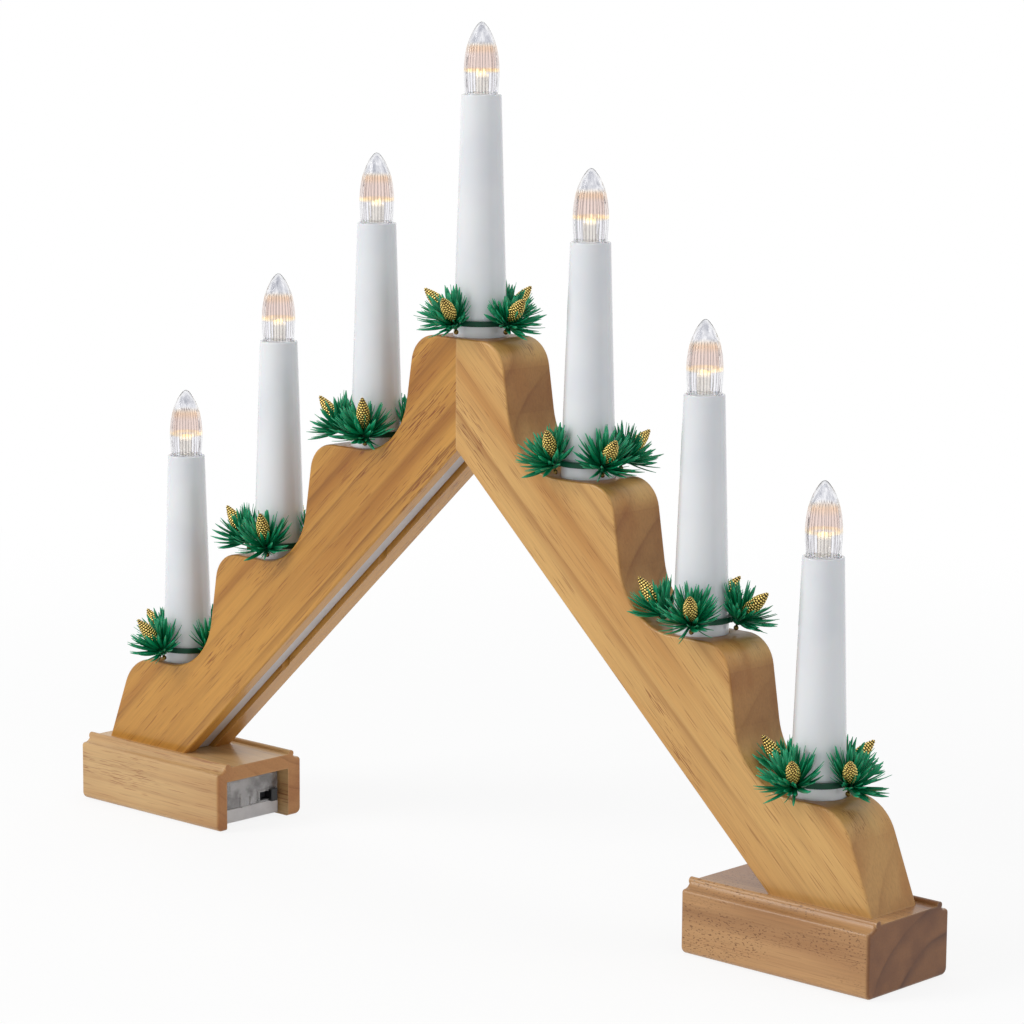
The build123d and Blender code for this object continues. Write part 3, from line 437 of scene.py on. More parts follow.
def clear_box_look():
    """Clear moulding with milky flow marks."""
    look = Look("box_clear")
    place = look.place
    flow = look.noise(place, 160.0, 3.0, 0.6)
    fine = look.noise(place, 1400.0, 2.0)
    colour = look.mix(look.span(flow, 0.38, 0.62), rgb(240, 237, 236), rgb(168, 162, 160))
    rough = look.math("MULTIPLY_ADD", flow, 0.14, 0.06)
    return look.finish(
        Base_Color=colour, Roughness=rough, Normal=look.bump(look.math("ADD", flow, fine), 0.00014, 0.6),
        IOR=1.5, Transmission_Weight=0.72, Coat_Weight=0.8, Coat_Roughness=0.05,
    )


def frosted_look():
    """Frosted moulding, a little cloudy."""
    look = Look("box_frosted")
    place = look.place
    cloud = look.noise(place, 120.0, 3.0, 0.6)
    grain = look.noise(place, 2600.0, 2.0, 0.6)
    colour = look.mix(look.span(cloud, 0.3, 0.7), rgb(238, 235, 234), rgb(222, 218, 218))
    return look.finish(
        Base_Color=colour, Roughness=look.math("MULTIPLY_ADD", cloud, 0.15, 0.38),
        Normal=look.bump(grain, 0.00006, 0.6), IOR=1.45, Transmission_Weight=0.25,
    )


def cell_look():
    """Dark shrunk jacket, bare metal at both ends of the cell."""
    look = Look("cell_jacket")
    from_middle = look.math("ABSOLUTE", look.math("SUBTRACT", look.split(look.share_of_box)[0], 0.5))
    end = look.span(from_middle, 0.455, 0.465)
    wrap = look.noise(look.place, 200.0, 3.0)
    jacket = look.mix(wrap, rgb(26, 28, 33), rgb(46, 49, 56))
    colour = look.mix(end, jacket, rgb(176, 176, 178))
    return look.finish(
        Base_Color=colour, Metallic=end, Roughness=look.math("MULTIPLY_ADD", wrap, 0.2, 0.25),
        Normal=look.bump(wrap, 0.0001, 0.3),
    )


def steel_look(name, tone, shade):
    """Bare steel with fine upright lines."""
    look = Look(name)
    place = look.node(
        "ShaderNodeMapping", {"Vector": look.place, "Scale": (1.0, 1.0, 0.06)},
    ).outputs[0]
    lines = look.noise(place, 2400.0, 3.0, 0.6)
    colour = look.mix(lines, tone, shade)
    return look.finish(
        Base_Color=colour, Metallic=1.0, Roughness=look.math("MULTIPLY_ADD", lines, 0.25, 0.2),
        Normal=look.bump(lines, 0.00002, 0.5),
    )


# Looks of the solids

looks = {
    "left_leg": wood(
        "leg_wood_left", SLOPE, heart=(0.075, -0.030), spacing=0.0088, pale=(197, 143, 66),
        late=(116, 67, 20), brown=(157, 100, 36), end_tone=(200, 166, 124), streak=1.0,
        band_share=0.85, brown_share=0.55, dash_share=0.85, shift=0.31,
    ),
    "right_leg": wood(
        "leg_wood_right", -SLOPE, heart=(0.062, 0.045), spacing=0.0105, pale=(210, 165, 100),
        late=(150, 96, 44), brown=(186, 130, 66), end_tone=(180, 136, 84), streak=1.0,
        band_share=0.75, brown_share=0.6, dash_share=0.75, shift=0.05,
    ),
    "left_base": wood(
        "base_wood_left", 0.0, heart=(0.050, 0.110), spacing=0.0052, pale=(204, 168, 118),
        late=(150, 102, 60), brown=(176, 128, 80), end_tone=(236, 204, 178), streak=0.6,
        brown_share=0.75, dash_tone=(134, 76, 38), shift=0.12,
    ),
    "right_base": wood(
        "base_wood_right", 0.0, heart=(0.030, -0.020), spacing=0.0125, pale=(196, 152, 104),
        late=(124, 80, 46), brown=(146, 98, 58), end_tone=(178, 152, 130), streak=1.0,
        band_share=0.6, brown_share=0.9, dash_share=0.35, speck_share=0.65,
        dash_tone=(92, 52, 26), warp=0.010, shift=0.42,
    ),
}
strip_look = moulded(
    "cover_strip", rgb(192, 188, 188), rgb(180, 176, 177), rough=0.45, mottle=60.0, peel=0.00004)
sleeve_white = sleeve_look()
lens_clear = glass_look()
lamp = lamp_look()
green = needle_look()
green_ring = ring_look()
gilt = gilt_look()
looks["left_groove_cover"] = looks["right_groove_cover"] = strip_look
for k in CANDLES:
    looks[f"candle_sleeve_{k}"] = sleeve_white
    looks[f"flame_lens_{k}"] = lens_clear
    looks[f"led_{k}"] = lamp
    looks[f"garland_ring_{k}"] = green_ring
    looks[f"needle_sprigs_{k}"] = green
    looks[f"pine_cones_{k}"] = gilt
looks["candle_plugs"] = moulded("plug_white", rgb(222, 222, 220), rgb(210, 210, 208), rough=0.5)
looks["led_leads"] = moulded(
    "lead_white", rgb(228, 228, 226), rgb(214, 214, 212), rough=0.45, mottle=150.0)
looks["main_lead"] = looks["led_leads"]
looks["battery_box_shell"] = clear_box_look()
looks["battery_box_lid"] = frosted_look()
looks["batteries"] = cell_look()
looks["battery_contacts"] = steel_look("contact_steel", rgb(205, 205, 202), rgb(176, 176, 174))
looks["switch_body"] = moulded("switch_black", rgb(22, 22, 23), rgb(30, 30, 32), rough=0.38)
looks["switch_slider"] = moulded(
    "switch_cap", rgb(14, 14, 15), rgb(24, 24, 26), rough=0.42, mottle=400.0)
looks["foam_tape"] = moulded(
    "tape_foam", rgb(220, 220, 212), rgb(206, 206, 198), rough=0.85, mottle=900.0, peel=0.0002)
looks["mitre_dowels"] = wood(
    "dowel_wood", 0.0, heart=(0.02, 0.02), spacing=0.0016, pale=(222, 190, 146),
    late=(196, 156, 108), brown=(206, 168, 120), end_tone=(200, 180, 160), dash_share=0.2,
)
looks["base_screws"] = steel_look("screw_steel", rgb(206, 200, 186), rgb(180, 174, 160))
for name, node in nodes.items():
    node.data.materials.clear()
    node.data.materials.append(looks[name])


# Mesh builder

def circle(radius, z, sides):
    """Points round local Z; radius and height are in millimetres, the points in metres."""
    turns = [2 * math.pi * step / sides for step in range(sides)]
    return [(radius * MM * math.cos(turn), radius * MM * math.sin(turn), z * MM) for turn in turns]


def columns(x, y, z, origin):
    """Matrix with these three axes and this origin."""
    return Matrix((*((x[n], y[n], z[n], origin[n]) for n in range(3)), (0, 0, 0, 1)))


class Shape:
    """Collects points and faces, with one value of each named attribute a point."""

    def __init__(self, attributes=()):
        self.points = []
        self.faces = []
        self.values = {name: [] for name in attributes}

    def add(self, point, **values):
        self.points.append(tuple(point))
        for name in self.values:
            self.values[name].append(values.get(name, 0.0))
        return len(self.points) - 1

    def ring(self, points, **values):
        return [self.add(point, **values) for point in points]

    def bridge(self, first, second):
        count = len(first)
        for number in range(count):
            after = (number + 1) % count
            self.faces.append((first[number], first[after], second[after], second[number]))

    def skin(self, rings):
        """Joins each ring to the next."""
        for first, second in zip(rings, rings[1:]):
            self.bridge(first, second)

    def cap(self, ring, flip=False):
        self.faces.append(tuple(reversed(ring)) if flip else tuple(ring))

    def close(self, rings):
        """Joins the rings and caps the first and the last."""
        self.skin(rings)
        self.cap(rings[0], flip=True)
        self.cap(rings[-1])

    def fan(self, ring, point):
        for number in range(len(ring)):
            self.faces.append((ring[number], ring[(number + 1) % len(ring)], point))

    def lathe(self, profile, sides, crest):
        """Closed round body; the profile lists radius and height in millimetres."""
        self.close([self.ring(circle(radius, z, sides), crest=crest) for radius, z in profile])

    def merge(self, other, place):
        """Adds a copy of another shape, moved by a matrix."""
        start = len(self.points)
        for point in other.points:
            self.points.append(tuple(place @ Vector(point)))
        self.faces.extend(tuple(index + start for index in face) for face in other.faces)
        for name in self.values:
            self.values[name].extend(other.values[name])

    def build(self, name, material, second=None, below=0.0):
        """Makes the piece; faces that lie wholly below a height get the second material."""
        mesh = bpy.data.meshes.new(name)
        mesh.from_pydata(self.points, [], self.faces)
        mesh.validate()
        for key, numbers in self.values.items():
            mesh.attributes.new(key, "FLOAT", "POINT").data.foreach_set("value", numbers)
        mesh.materials.append(material)
        if second is not None:
            mesh.materials.append(second)
            for polygon in mesh.polygons:
                if all(mesh.vertices[number].co.z < below for number in polygon.vertices):
                    polygon.material_index = 1
        mesh.shade_smooth()
        made = bpy.data.objects.new(name, mesh)
        bpy.context.scene.collection.objects.link(made)
        return made


# Clear fluted lenses, with sizes in millimetres and heights above the sleeve's rim

FLUTES = 32
POINTS_PER_FLUTE = 6
FLUTE_DEPTH = 0.26
FLUTES_END = 19.4
FLUTE_FADE = 2.0
LENS_WALL = 1.0
THICK_START = 16
LEAST_RADIUS = 0.3
LENS_TIP = 25.95
INNER_TIP = 24.75
RIM_RADIUS = 5.95
FLOOR_RADIUS = 5.93
FLOOR_RISE = 0.02
WHITE_BELOW = 0.05

PROFILE = (
    (0.0, 5.95), (2.0, 6.12), (5.0, 6.36), (8.0, 6.48), (11.0, 6.36), (14.0, 6.04), (17.0, 5.44),
    (19.0, 4.82), (21.0, 3.98), (22.5, 3.24), (23.7, 2.50), (24.6, 1.84), (25.2, 1.38), (25.6, 0.95),
    (25.8, 0.60), (25.9, 0.30),
)
OUTER_HEIGHTS = (
    0.4, 1.0, 2, 3.5, 5, 6.5, 8, 9.5, 11, 12.5, 14, 15.5, 17, 18, 19, 20, 21, 21.8, 22.5, 23.1, 23.7,
    24.2, 24.6, 25.0, 25.3, 25.55, 25.7, 25.82, 25.9,
)
INNER_HEIGHTS = (-0.15, 1.5, 4, 7, 10, 13, 16, 18.5, 20.5, 22, 23.2, 24.1, 24.6)


def flame_profile(height):
    """Outer radius of the lens at a height, both in millimetres."""
    for (low, first), (high, second) in zip(PROFILE, PROFILE[1:]):
        if height <= high:
            return first + (second - first) * (height - low) / (high - low)
    return PROFILE[-1][1]


def lens_shape():
    """Fluted outer wall, smooth inner wall, and a flat disc that shows the sleeve's end."""
    shape = Shape(("rise", "rib", "luck"))
    steps = FLUTES * POINTS_PER_FLUTE
    turns = [2 * math.pi * step / steps for step in range(steps)]
    chances = [random.random() for flute in range(FLUTES)]

    def level(radius, z, flute=0.0):
        made = []
        for step, turn in enumerate(turns):
            crest = abs(math.cos(turn * FLUTES / 2)) ** 0.8
            here = (radius - flute * (1 - crest)) * MM
            point = (here * math.cos(turn), here * math.sin(turn), z * MM)
            luck = chances[(step + POINTS_PER_FLUTE // 2) // POINTS_PER_FLUTE % FLUTES]
            made.append(shape.add(point, rise=z, rib=crest if flute > 0 else 1.0, luck=luck))
        return made

    def tip(z):
        return shape.add((0, 0, z * MM), rise=z, rib=1.0)

    rings = [level(RIM_RADIUS, -3.5), level(RIM_RADIUS, 0.0), level(RIM_RADIUS + 0.02, 0.03)]
    for height in OUTER_HEIGHTS:
        fade = min(height, 1.0) * min(max((FLUTES_END - height) / FLUTE_FADE, 0.0), 1.0)
        rings.append(level(flame_profile(height), height, FLUTE_DEPTH * fade))
    shape.skin(rings)
    shape.fan(rings[-1], tip(LENS_TIP))
    shape.cap(rings[0], flip=True)
    inner = []
    for height in INNER_HEIGHTS:
        thicker = 0.25 * max(height - THICK_START, 0) / 8
        radius = max(flame_profile(max(height, 0.0)) - LENS_WALL - thicker, LEAST_RADIUS)
        inner.append(level(radius, height))
    for first, second in zip(inner, inner[1:]):
        shape.bridge(second, first)
    shape.fan(list(reversed(inner[-1])), tip(INNER_TIP))
    shape.cap(inner[0])
    shape.cap(level(FLOOR_RADIUS, FLOOR_RISE))
    return shape


lens = lens_shape()
for k in CANDLES:
    low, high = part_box(f"flame_lens_{k}")
    rim = high.z - LENS_HEIGHT
    middle = (low + high) / 2
    shape = Shape(("rise", "rib", "luck"))
    turned = Matrix.Rotation(random.uniform(0, 2 * math.pi), 4, "Z")
    shape.merge(lens, Matrix.Translation((middle.x, middle.y, rim)) @ turned)
    piece = shape.build(f"lens_shell_{k}", lens_clear, sleeve_white, rim + WHITE_BELOW * MM)
    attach(piece, "frame")
    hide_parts(f"flame_lens_{k}")


# Garlands

BLADE_WIDTHS = (0.68, 0.94, 1.0, 0.98, 0.88, 0.66, 0.14)
BLADE_THICKNESS = 0.30 * MM
BLADE_ROOM = 0.9 * MM
BOX_ROOM = 0.2 * MM
CONE_TIP_ROOM = 1.6 * MM
CONE_LEG_ROOM = 3.5 * MM
ATTEMPTS = 12

# Blades of a tuft: how many, how far they lean from its axis in degrees, and their reach
LAYERS = (
    (6, 22, 0.82), (9, 36, 0.92), (12, 50, 1.0), (14, 64, 1.0), (15, 78, 1.0), (17, 92, 0.92),
    (17, 104, 0.74),
)
STEEP_LAYERS = ((6, 20, 0.84), (9, 34, 0.92), (12, 48, 0.98), (13, 62, 0.96), (9, 76, 0.90))

# A blade may hang down as far as LOWEST, and less where it turns from the way out by more than SWING
LOWEST = math.radians(-30)
SWING = math.radians(42)

# Ways of cones that don't point along their sprig, by candle and arm
CONE_WAYS = {
    (1, 1): (-0.30, 0.52, 0.80), (1, 3): (-0.42, -0.45, 0.79),
    (2, 2): (-0.62, -0.10, 0.78), (2, 3): (0.20, -0.40, 0.89),
    (3, 2): (-0.66, -0.14, 0.74), (3, 3): (0.21, -0.28, 0.94),
    (4, 0): (0.74, -0.24, 0.63), (4, 1): (0.14, 0.75, 0.64),
    (4, 2): (-0.74, -0.20, 0.64), (4, 3): (0.28, -0.72, 0.64),
    (5, 0): (0.66, -0.33, 0.68), (5, 1): (0.10, 0.86, 0.50), (5, 3): (0.24, -0.52, 0.82),
    (6, 0): (0.74, 0.10, 0.66), (6, 1): (0.30, 0.64, 0.71),
    (6, 2): (-0.50, -0.30, 0.81), (6, 3): (0.42, -0.56, 0.72),
    (7, 0): (0.45, -0.58, 0.68), (7, 1): (0.22, 0.85, 0.47),
    (7, 2): (-0.40, -0.41, 0.82), (7, 3): (0.40, -0.61, 0.68),
}

# Scales in each row of a cone, from its foot to its tip, and the share of its length where it is fullest
SCALES = (13,) * 8 + (12, 12, 10, 9, 8, 6)
FULLEST = 0.36

# The small bead under a hub, with its radius in millimetres
KNOB_RADIUS = 0.93
KNOB_SIDES = 18
KNOB_STEPS = 12
KNOB_INWARD = 0.6 * MM
KNOB_DROP = 3.0 * MM


def tree_of(name):
    """Search tree of a solid's faces."""
    mesh = nodes[name].data
    points = [vertex.co.copy() for vertex in mesh.vertices]
    return BVHTree.FromPolygons(points, [tuple(polygon.vertices) for polygon in mesh.polygons])


leg_trees = [tree_of("left_leg"), tree_of("right_leg")]
sleeve_trees = {k: tree_of(f"candle_sleeve_{k}") for k in CANDLES}
cad_low, cad_high = (Vector(corner) for corner in cad_box)


def in_box(point):
    """Whether a point lies within the box round all solids."""
    return all(cad_low[n] + BOX_ROOM < point[n] < cad_high[n] - BOX_ROOM for n in range(3))


def is_free(line, trees):
    """Whether a blade's middle line keeps clear of the solids in the trees."""
    for first, second in zip(line[1:], line[2:]):
        run = second - first
        for tree in trees:
            if tree.ray_cast(first, run.normalized(), run.length + BLADE_ROOM)[0] is not None:
                return False
    return all(tree.find_nearest(point, BLADE_ROOM)[0] is None for tree in trees for point in line[3:])


def blade_line(root, way, bend, length):
    """Middle line of a blade that leaves root along way and curves by bend."""
    line = []
    for step in range(len(BLADE_WIDTHS)):
        share = step / (len(BLADE_WIDTHS) - 1)
        line.append(root + way * (length * share) + bend * (length * share * share))
    return line


def raised(ahead, out):
    """The way of a blade, brought up to its lowest slope if it hangs below that."""
    flat = Vector((ahead.x, ahead.y, 0))
    apart = flat.angle(out, 0.0) if flat.length > 1e-6 else 0.0
    lowest = LOWEST * random.uniform(0.1, 1.0) + max(apart - SWING, 0) * 0.9
    if ahead.z < math.sin(lowest):
        ahead = flat.normalized() * math.cos(lowest) + UP * math.sin(lowest)
    return ahead


def find_blade(hub, axis, towards, out, lean, length, trees):
    """Way and middle line of a blade that has room, or None; each attempt leans it less."""
    for attempt in range(ATTEMPTS):
        ahead = raised(axis * math.cos(lean) + towards * math.sin(lean), out)
        bend = (UP - ahead * ahead.z) * random.uniform(0.12, 0.24)
        line = blade_line(hub + ahead * MM, ahead, bend, length / (ahead + bend).length)
        if in_box(line[-1]) and is_free(line, trees):
            return ahead, line
        lean *= 0.88
        if attempt > 3:
            length *= 0.92
    return None


def add_blade(shape, line, outward, width):
    """Flat pointed blade with a shallow ridge along its upper face."""
    luck = random.random()
    rings = []
    for number, (point, share) in enumerate(zip(line, BLADE_WIDTHS)):
        ahead = line[min(number + 1, len(line) - 1)] - line[max(number - 1, 0)]
        side = ahead.cross(outward).normalized()
        top = side.cross(ahead).normalized()
        half = side * (width * share / 2)
        deep = top * (BLADE_THICKNESS * (0.35 + 0.65 * share) / 2)
        reach = number / (len(line) - 1)
        rings.append(shape.ring(
            [point - half, point - deep, point + half, point + deep * 1.4], reach=reach, luck=luck))
    shape.close(rings)


def hub_frame(k, angle, steep, way=None):
    """Middle of a hub, then its axis, inward way, side way and the flat way out from the candle."""
    ring_low, ring_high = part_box(f"garland_ring_{k}")
    sleeve_low, sleeve_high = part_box(f"candle_sleeve_{k}")
    middle = (sleeve_low + sleeve_high) / 2
    z = (ring_low.z + ring_high.z) / 2
    out = Vector((math.cos(angle), math.sin(angle), 0))
    hub = Vector((middle.x, middle.y, z)) + out * HUB_PLACE
    rise = STEEP_SPRIG_RISE if steep else SPRIG_RISE
    axis = out * math.cos(rise) + UP * math.sin(rise)
    if way is not None:
        axis = (axis + Vector(way)).normalized()
    side = UP.cross(axis).normalized()
    return hub, axis, axis.cross(side), side, out


def add_hub(shape, hub, axis, inward, side):
    """Small rounded knot that the blades grow from."""
    rings = []
    for along, radius in ((-1.6, 0.9), (-1.2, 1.6), (0.0, 2.1), (1.0, 1.8), (1.5, 1.0)):
        points = []
        for step in range(12):
            turn = 2 * math.pi * step / 12
            wave = 1 + 0.06 * math.cos(4 * turn)
            points.append(hub + axis * (along * MM)
                          + (inward * math.cos(turn) + side * math.sin(turn)) * (radius * wave * MM))
        rings.append(shape.ring(points, reach=0.02, luck=0.4))
    shape.close(rings)


def add_tuft(shape, k, angle, steep, way):
    """Hub with all its blades; with a cone's way, the tuft turns halfway towards it."""
    hub, axis, inward, side, out = hub_frame(k, angle, steep, way)
    add_hub(shape, hub, axis, inward, side)
    trees = leg_trees + [sleeve_trees[k]]
    for layer, (count, lean_degrees, reach) in enumerate(STEEP_LAYERS if steep else LAYERS):
        for number in range(count):
            turn = 2 * math.pi * (number + 0.5 * (layer % 2) + random.uniform(-0.3, 0.3)) / count
            lean = math.radians(lean_degrees + random.uniform(-8, 8))
            towards = inward * math.cos(turn) + side * math.sin(turn)
            length = NEEDLE_REACH * reach * random.uniform(0.88, 1.08) - 1.0 * MM
            if k == APEX_CANDLE and towards.x * out.x < 0 and lean > 0.5:
                length *= 1 - 0.5 * abs(towards.x)
            found = find_blade(hub, axis, towards, out, lean, length, trees)
            if found is None:
                continue
            ahead, line = found
            width = random.uniform(1.45, 1.95) * MM
            tilt = Matrix.Rotation(random.uniform(-1.0, 1.0), 3, ahead)
            add_blade(shape, line, tilt @ (-UP if ahead.z < 0.5 else towards), width)


def cone_profile(share):
    """Radius in millimetres of the cone's body at a share of its length, fullest below its middle."""
    full = CONE_RADIUS / MM
    if share < FULLEST:
        return 1.2 + (full - 1.2) * math.sin(math.pi / 2 * share / FULLEST)
    fall = (share - FULLEST) / (1 - FULLEST)
    return 0.4 + (full - 0.4) * math.cos(math.pi / 2 * fall ** 1.15)


def scale_shape():
    """One raised scale, seen from its middle: X across, Y towards the tip, Z outwards."""
    shape = Shape(("crest",))
    rings = []
    # Crest values paint the light on each scale: none at its foot for painted shade, full at its top for a
    # painted highlight
    for level, radius, crest in ((-0.3, 1.05, 0.0), (0.14, 0.92, 0.45), (0.40, 0.55, 1.0)):
        points = []
        for step in range(8):
            turn = 2 * math.pi * (step + 0.5) / 8
            here = radius * (1 + 0.10 * math.cos(4 * turn))
            points.append((here * math.cos(turn), here * math.sin(turn) * 0.9 + level * 0.25, level))
        rings.append(shape.ring(points, crest=crest))
    shape.skin(rings)
    shape.fan(rings[-1], shape.add((0, 0.15, 0.55), crest=1.0))
    return shape


def cone_shape():
    """Cone on its stem, along local Z from the hub's middle, in metres."""
    shape = Shape(("crest",))
    start, length = CONE_START / MM, CONE_LENGTH / MM
    stem = STEM_RADIUS / MM
    shape.lathe([(stem, 0.0), (stem, start + 0.3)], 14, 0.2)
    # The core between the scales has no crest, so it shows painted shade
    shape.lathe([(cone_profile(step / 12) * 0.88, start + length * step / 12) for step in range(13)], 14, 0.0)
    scale = scale_shape()
    rows = len(SCALES)
    for row, count in enumerate(SCALES):
        share = (row + 0.5) / rows
        radius = cone_profile(share)
        size = min(2 * math.pi * radius / count, length / rows * 1.4) / 2 * 1.04
        slope = (cone_profile(min(share + 0.03, 1)) - cone_profile(share - 0.03)) / (0.06 * length)
        deep = 0.82 * (0.5 + 0.5 * radius / 2.6)
        for number in range(count):
            turn = 2 * math.pi * (number + 0.5 * (row % 2)) / count
            out = Vector((math.cos(turn), math.sin(turn), -slope)).normalized()
            side = Vector((-math.sin(turn), math.cos(turn), 0))
            up = out.cross(side)
            seat = radius * 0.86
            middle = Vector((math.cos(turn) * seat, math.sin(turn) * seat, start + length * share)) * MM
            shape.merge(scale, columns(side * size * MM, up * size * MM, out * deep * MM, middle))
    tip = [(0.34 * math.cos(a), start + length - 0.25 + 0.55 * math.sin(a)) for a in (0, 0.5, 1.0, 1.4)]
    shape.lathe(tip, 10, 0.8)
    return shape


def knob_shape():
    """Round gilt bead with a seam groove."""
    shape = Shape(("crest",))
    rings = []
    for step in range(1, KNOB_STEPS):
        turn = math.pi * step / KNOB_STEPS
        # The seam ring has a lower crest value, a painted shade in the groove
        seam = step == KNOB_STEPS // 2
        radius = KNOB_RADIUS * math.sin(turn) * (0.97 if seam else 1.0)
        points = circle(radius, -KNOB_RADIUS * math.cos(turn), KNOB_SIDES)
        rings.append(shape.ring(points, crest=0.25 if seam else 0.5))
    shape.skin(rings)
    shape.fan(list(reversed(rings[0])), shape.add((0, 0, -KNOB_RADIUS * MM), crest=0.75))
    shape.fan(rings[-1], shape.add((0, 0, KNOB_RADIUS * MM), crest=0.75))
    return shape


def stem_shape(length):
    """Round stem along local Z, with its length in metres."""
    shape = Shape(("crest",))
    shape.lathe([(STEM_RADIUS / MM, 0.0), (STEM_RADIUS / MM, length / MM)], 8, 0.2)
    return shape


def stand(origin, way, across):
    """Matrix that puts local Z along way at origin."""
    way = way.normalized()
    side = across.cross(way).normalized()
    return columns(side, way.cross(side), way, origin)


def cone_axis(hub, way):
    """Axis of a cone that is to point this way, with less of it in Y where its tip would leave the
    box, or None where its tip would come near a leg."""
    axis = Vector(way).normalized()
    most = (cad_high.y - CONE_TIP_ROOM - abs(hub.y)) / (CONE_START + CONE_LENGTH)
    if abs(axis.y) > most:
        grow = math.sqrt((1 - most * most) / (1 - axis.y * axis.y))
        axis = Vector((axis.x * grow, math.copysign(most, axis.y), axis.z * grow))
    tip = hub + axis * (CONE_START + CONE_LENGTH)
    if any(tree.find_nearest(tip, CONE_LEG_ROOM)[0] is not None for tree in leg_trees):
        return None
    return axis


def is_steep(k, angle):
    """Whether an arm faces the riser of the next step up, so that its sprig stands steeply."""
    if k == APEX_CANDLE:
        return False
    uphill = math.pi if k > APEX_CANDLE else 0.0
    apart = abs((angle - uphill + math.pi) % (2 * math.pi) - math.pi)
    return apart < math.pi / 4 - 0.01


cone = cone_shape()
knob = knob_shape()
for k in CANDLES:
    tufts = Shape(("reach", "luck"))
    gilts = Shape(("crest",))
    for arm in range(ARMS):
        angle = math.radians(GARLAND_TURNS[k - 1]) + 2 * math.pi / ARMS * arm
        steep = is_steep(k, angle)
        hub, axis, inward, side, out = hub_frame(k, angle, steep)
        way = CONE_WAYS.get((k, arm))
        chosen = cone_axis(hub, way) if way is not None else None
        if chosen is None:
            way = None
        else:
            axis = chosen
        add_tuft(tufts, k, angle, steep, way)
        gilts.merge(cone, stand(hub, axis, side))
        if not steep:
            drop = -out * KNOB_INWARD - UP * KNOB_DROP
            gilts.merge(stem_shape(drop.length), stand(hub, drop, side))
            gilts.merge(knob, Matrix.Translation(hub + drop))
    piece = tufts.build(f"garland_tufts_{k}", green)
    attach(piece, f"garland_{k}")
    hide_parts(f"needle_sprigs_{k}")
    piece = gilts.build(f"garland_cones_{k}", gilt)
    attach(piece, f"garland_{k}")
    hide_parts(f"pine_cones_{k}")


# Floor

FLOOR_HALF = 6
FLOOR_HEIGHT = -0.0003

# The floor shows pure white far out, and lets soft shadows through near the part
floor_look = Look("floor")
spread = floor_look.noise(floor_look.place, 3.0, 3.0)
pale = floor_look.mix(spread, rgb(247, 247, 247), rgb(250, 250, 250))
dull = floor_look.node("ShaderNodeBsdfDiffuse", {"Color": pale})
glow = floor_look.node("ShaderNodeEmission", {"Color": (1, 1, 1, 1), "Strength": 1.0})
path = floor_look.node("ShaderNodeLightPath").outputs
seen = floor_look.math("MAXIMUM", path["Is Camera Ray"], path["Is Transmission Ray"])
seen = floor_look.math("MAXIMUM", seen, path["Is Glossy Ray"])
away = floor_look.node(
    "ShaderNodeVectorMath", {0: floor_look.place}, operation="LENGTH").outputs["Value"]
bright = floor_look.span(away, 0.25, 0.8, 0.86, 1.0)
join = floor_look.node("ShaderNodeMixShader")
floor_look.feed(join.inputs[0], floor_look.math("MULTIPLY", seen, bright))
floor_look.feed(join.inputs[1], dull.outputs[0])
floor_look.feed(join.inputs[2], glow.outputs[0])
floor_look.output(join.outputs[0])
mesh = bpy.data.meshes.new("floor")
corners = [(x * FLOOR_HALF, y * FLOOR_HALF, FLOOR_HEIGHT) for x, y in ((-1, -1), (1, -1), (1, 1), (-1, 1))]
mesh.from_pydata(corners, [], [(0, 1, 2, 3)])
mesh.materials.append(floor_look.material)
floor = bpy.data.objects.new("floor", mesh)
bpy.context.scene.collection.objects.link(floor)


# World and lamps

# What is seen past the floor is white; the light on the part is a dimmer, cooler grey
world = bpy.data.worlds.new("studio")
bpy.context.scene.world = world
world.use_nodes = True
tree = world.node_tree
tree.nodes.clear()


def background(colour, strength):
    made = tree.nodes.new("ShaderNodeBackground")
    made.inputs["Color"].default_value = (*colour, 1)
    made.inputs["Strength"].default_value = strength
    return made.outputs[0]


def larger(first, second):
    made = tree.nodes.new("ShaderNodeMath")
    made.operation = "MAXIMUM"
    tree.links.new(first, made.inputs[0])
    tree.links.new(second, made.inputs[1])
    return made.outputs[0]


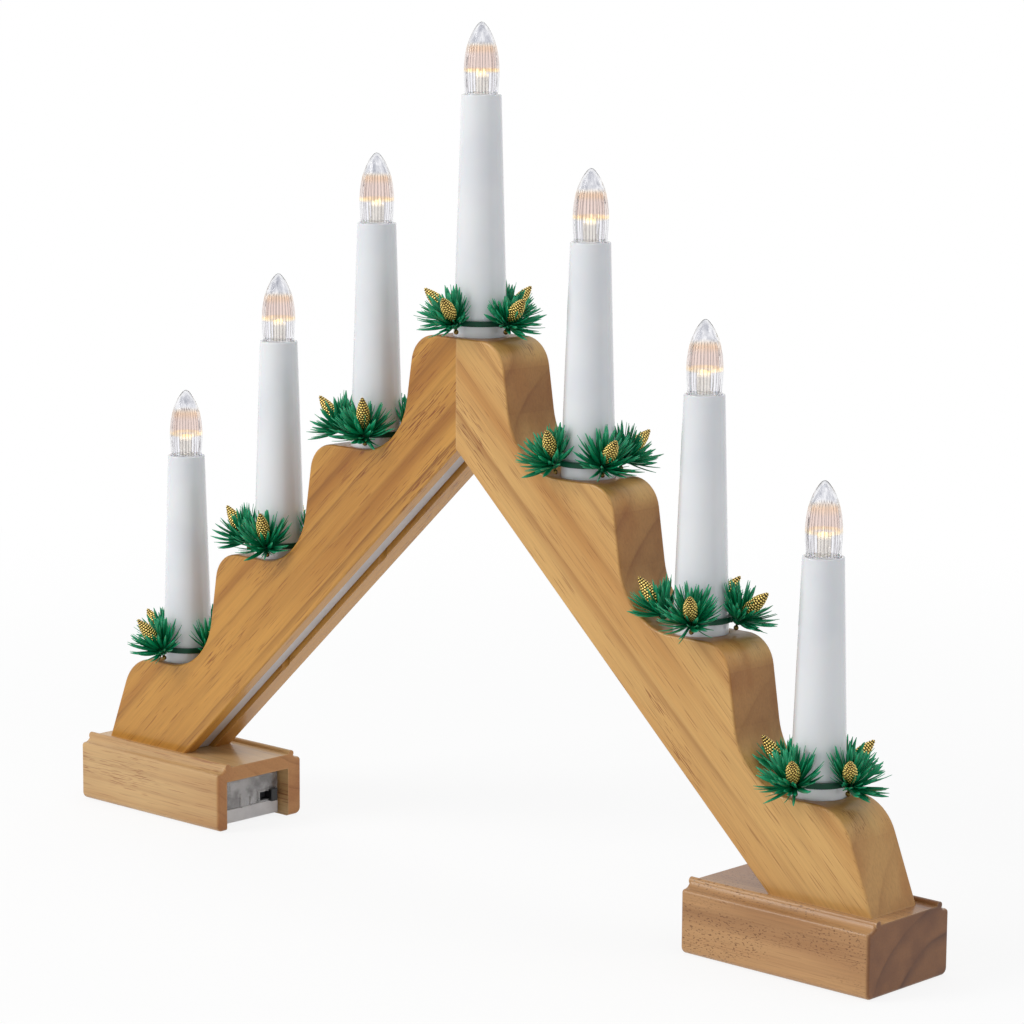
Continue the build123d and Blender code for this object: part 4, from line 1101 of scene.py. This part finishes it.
path = tree.nodes.new("ShaderNodeLightPath").outputs
seen = larger(larger(path["Is Camera Ray"], path["Is Glossy Ray"]), path["Is Transmission Ray"])
choose = tree.nodes.new("ShaderNodeMixShader")
sources = (seen, background((0.96, 0.98, 1.0), 0.47), background((1, 1, 1), 1.0))
for socket, source in zip(choose.inputs, sources):
    tree.links.new(source, socket)
surface = tree.nodes.new("ShaderNodeOutputWorld").inputs["Surface"]
tree.links.new(choose.outputs[0], surface)


def soft_lamp(name, place, target, size, power, tone=(1, 1, 1)):
    """Rectangular lamp that faces a target."""
    data = bpy.data.lights.new(name, "AREA")
    data.shape = "RECTANGLE"
    data.size = size[0]
    data.size_y = size[1]
    data.energy = power
    data.color = tone
    lamp_object = bpy.data.objects.new(name, data)
    lamp_object.location = place
    way = Vector(target) - Vector(place)
    lamp_object.rotation_euler = way.to_track_quat("-Z", "Y").to_euler()
    bpy.context.scene.collection.objects.link(lamp_object)


soft_lamp("key", (-0.9, -1.5, 1.15), (0, 0, 0.12), size=(0.9, 1.2), power=21.0, tone=(1.0, 0.985, 0.96))
soft_lamp("fill", (1.7, -0.7, 0.8), (0, 0, 0.12), size=(0.9, 1.1), power=3.0)
soft_lamp("top", (0.1, 0.4, 1.7), (0, 0, 0.1), size=(1.2, 0.8), power=6.0)


# Camera

# Angles in radians and lengths in metres, from the fit to the photo
AZIMUTH, ELEVATION, ROLL = 0.7479, 0.1674, 0.0069
TARGET = Vector((0.01645, 0, 0.13917))
DISTANCE = 1.3264

forward = Vector((-math.sin(AZIMUTH) * math.cos(ELEVATION), math.cos(AZIMUTH) * math.cos(ELEVATION),
                  -math.sin(ELEVATION)))
right = Vector((math.cos(AZIMUTH), math.sin(AZIMUTH), 0))
above = right.cross(forward)
tilted_right = right * math.cos(ROLL) + above * math.sin(ROLL)
tilted_above = above * math.cos(ROLL) - right * math.sin(ROLL)
camera_data = bpy.data.cameras.new("camera")
camera_data.sensor_width = 36.0
camera_data.lens = 127.83
camera_data.shift_y = 0.0045
camera_data.clip_start = 0.05
camera_data.clip_end = 40.0
camera = bpy.data.objects.new("camera", camera_data)
camera.matrix_world = columns(tilted_right, tilted_above, -forward, TARGET - forward * DISTANCE)
bpy.context.scene.collection.objects.link(camera)
bpy.context.scene.camera = camera
bpy.context.scene.view_settings.view_transform = "Standard"
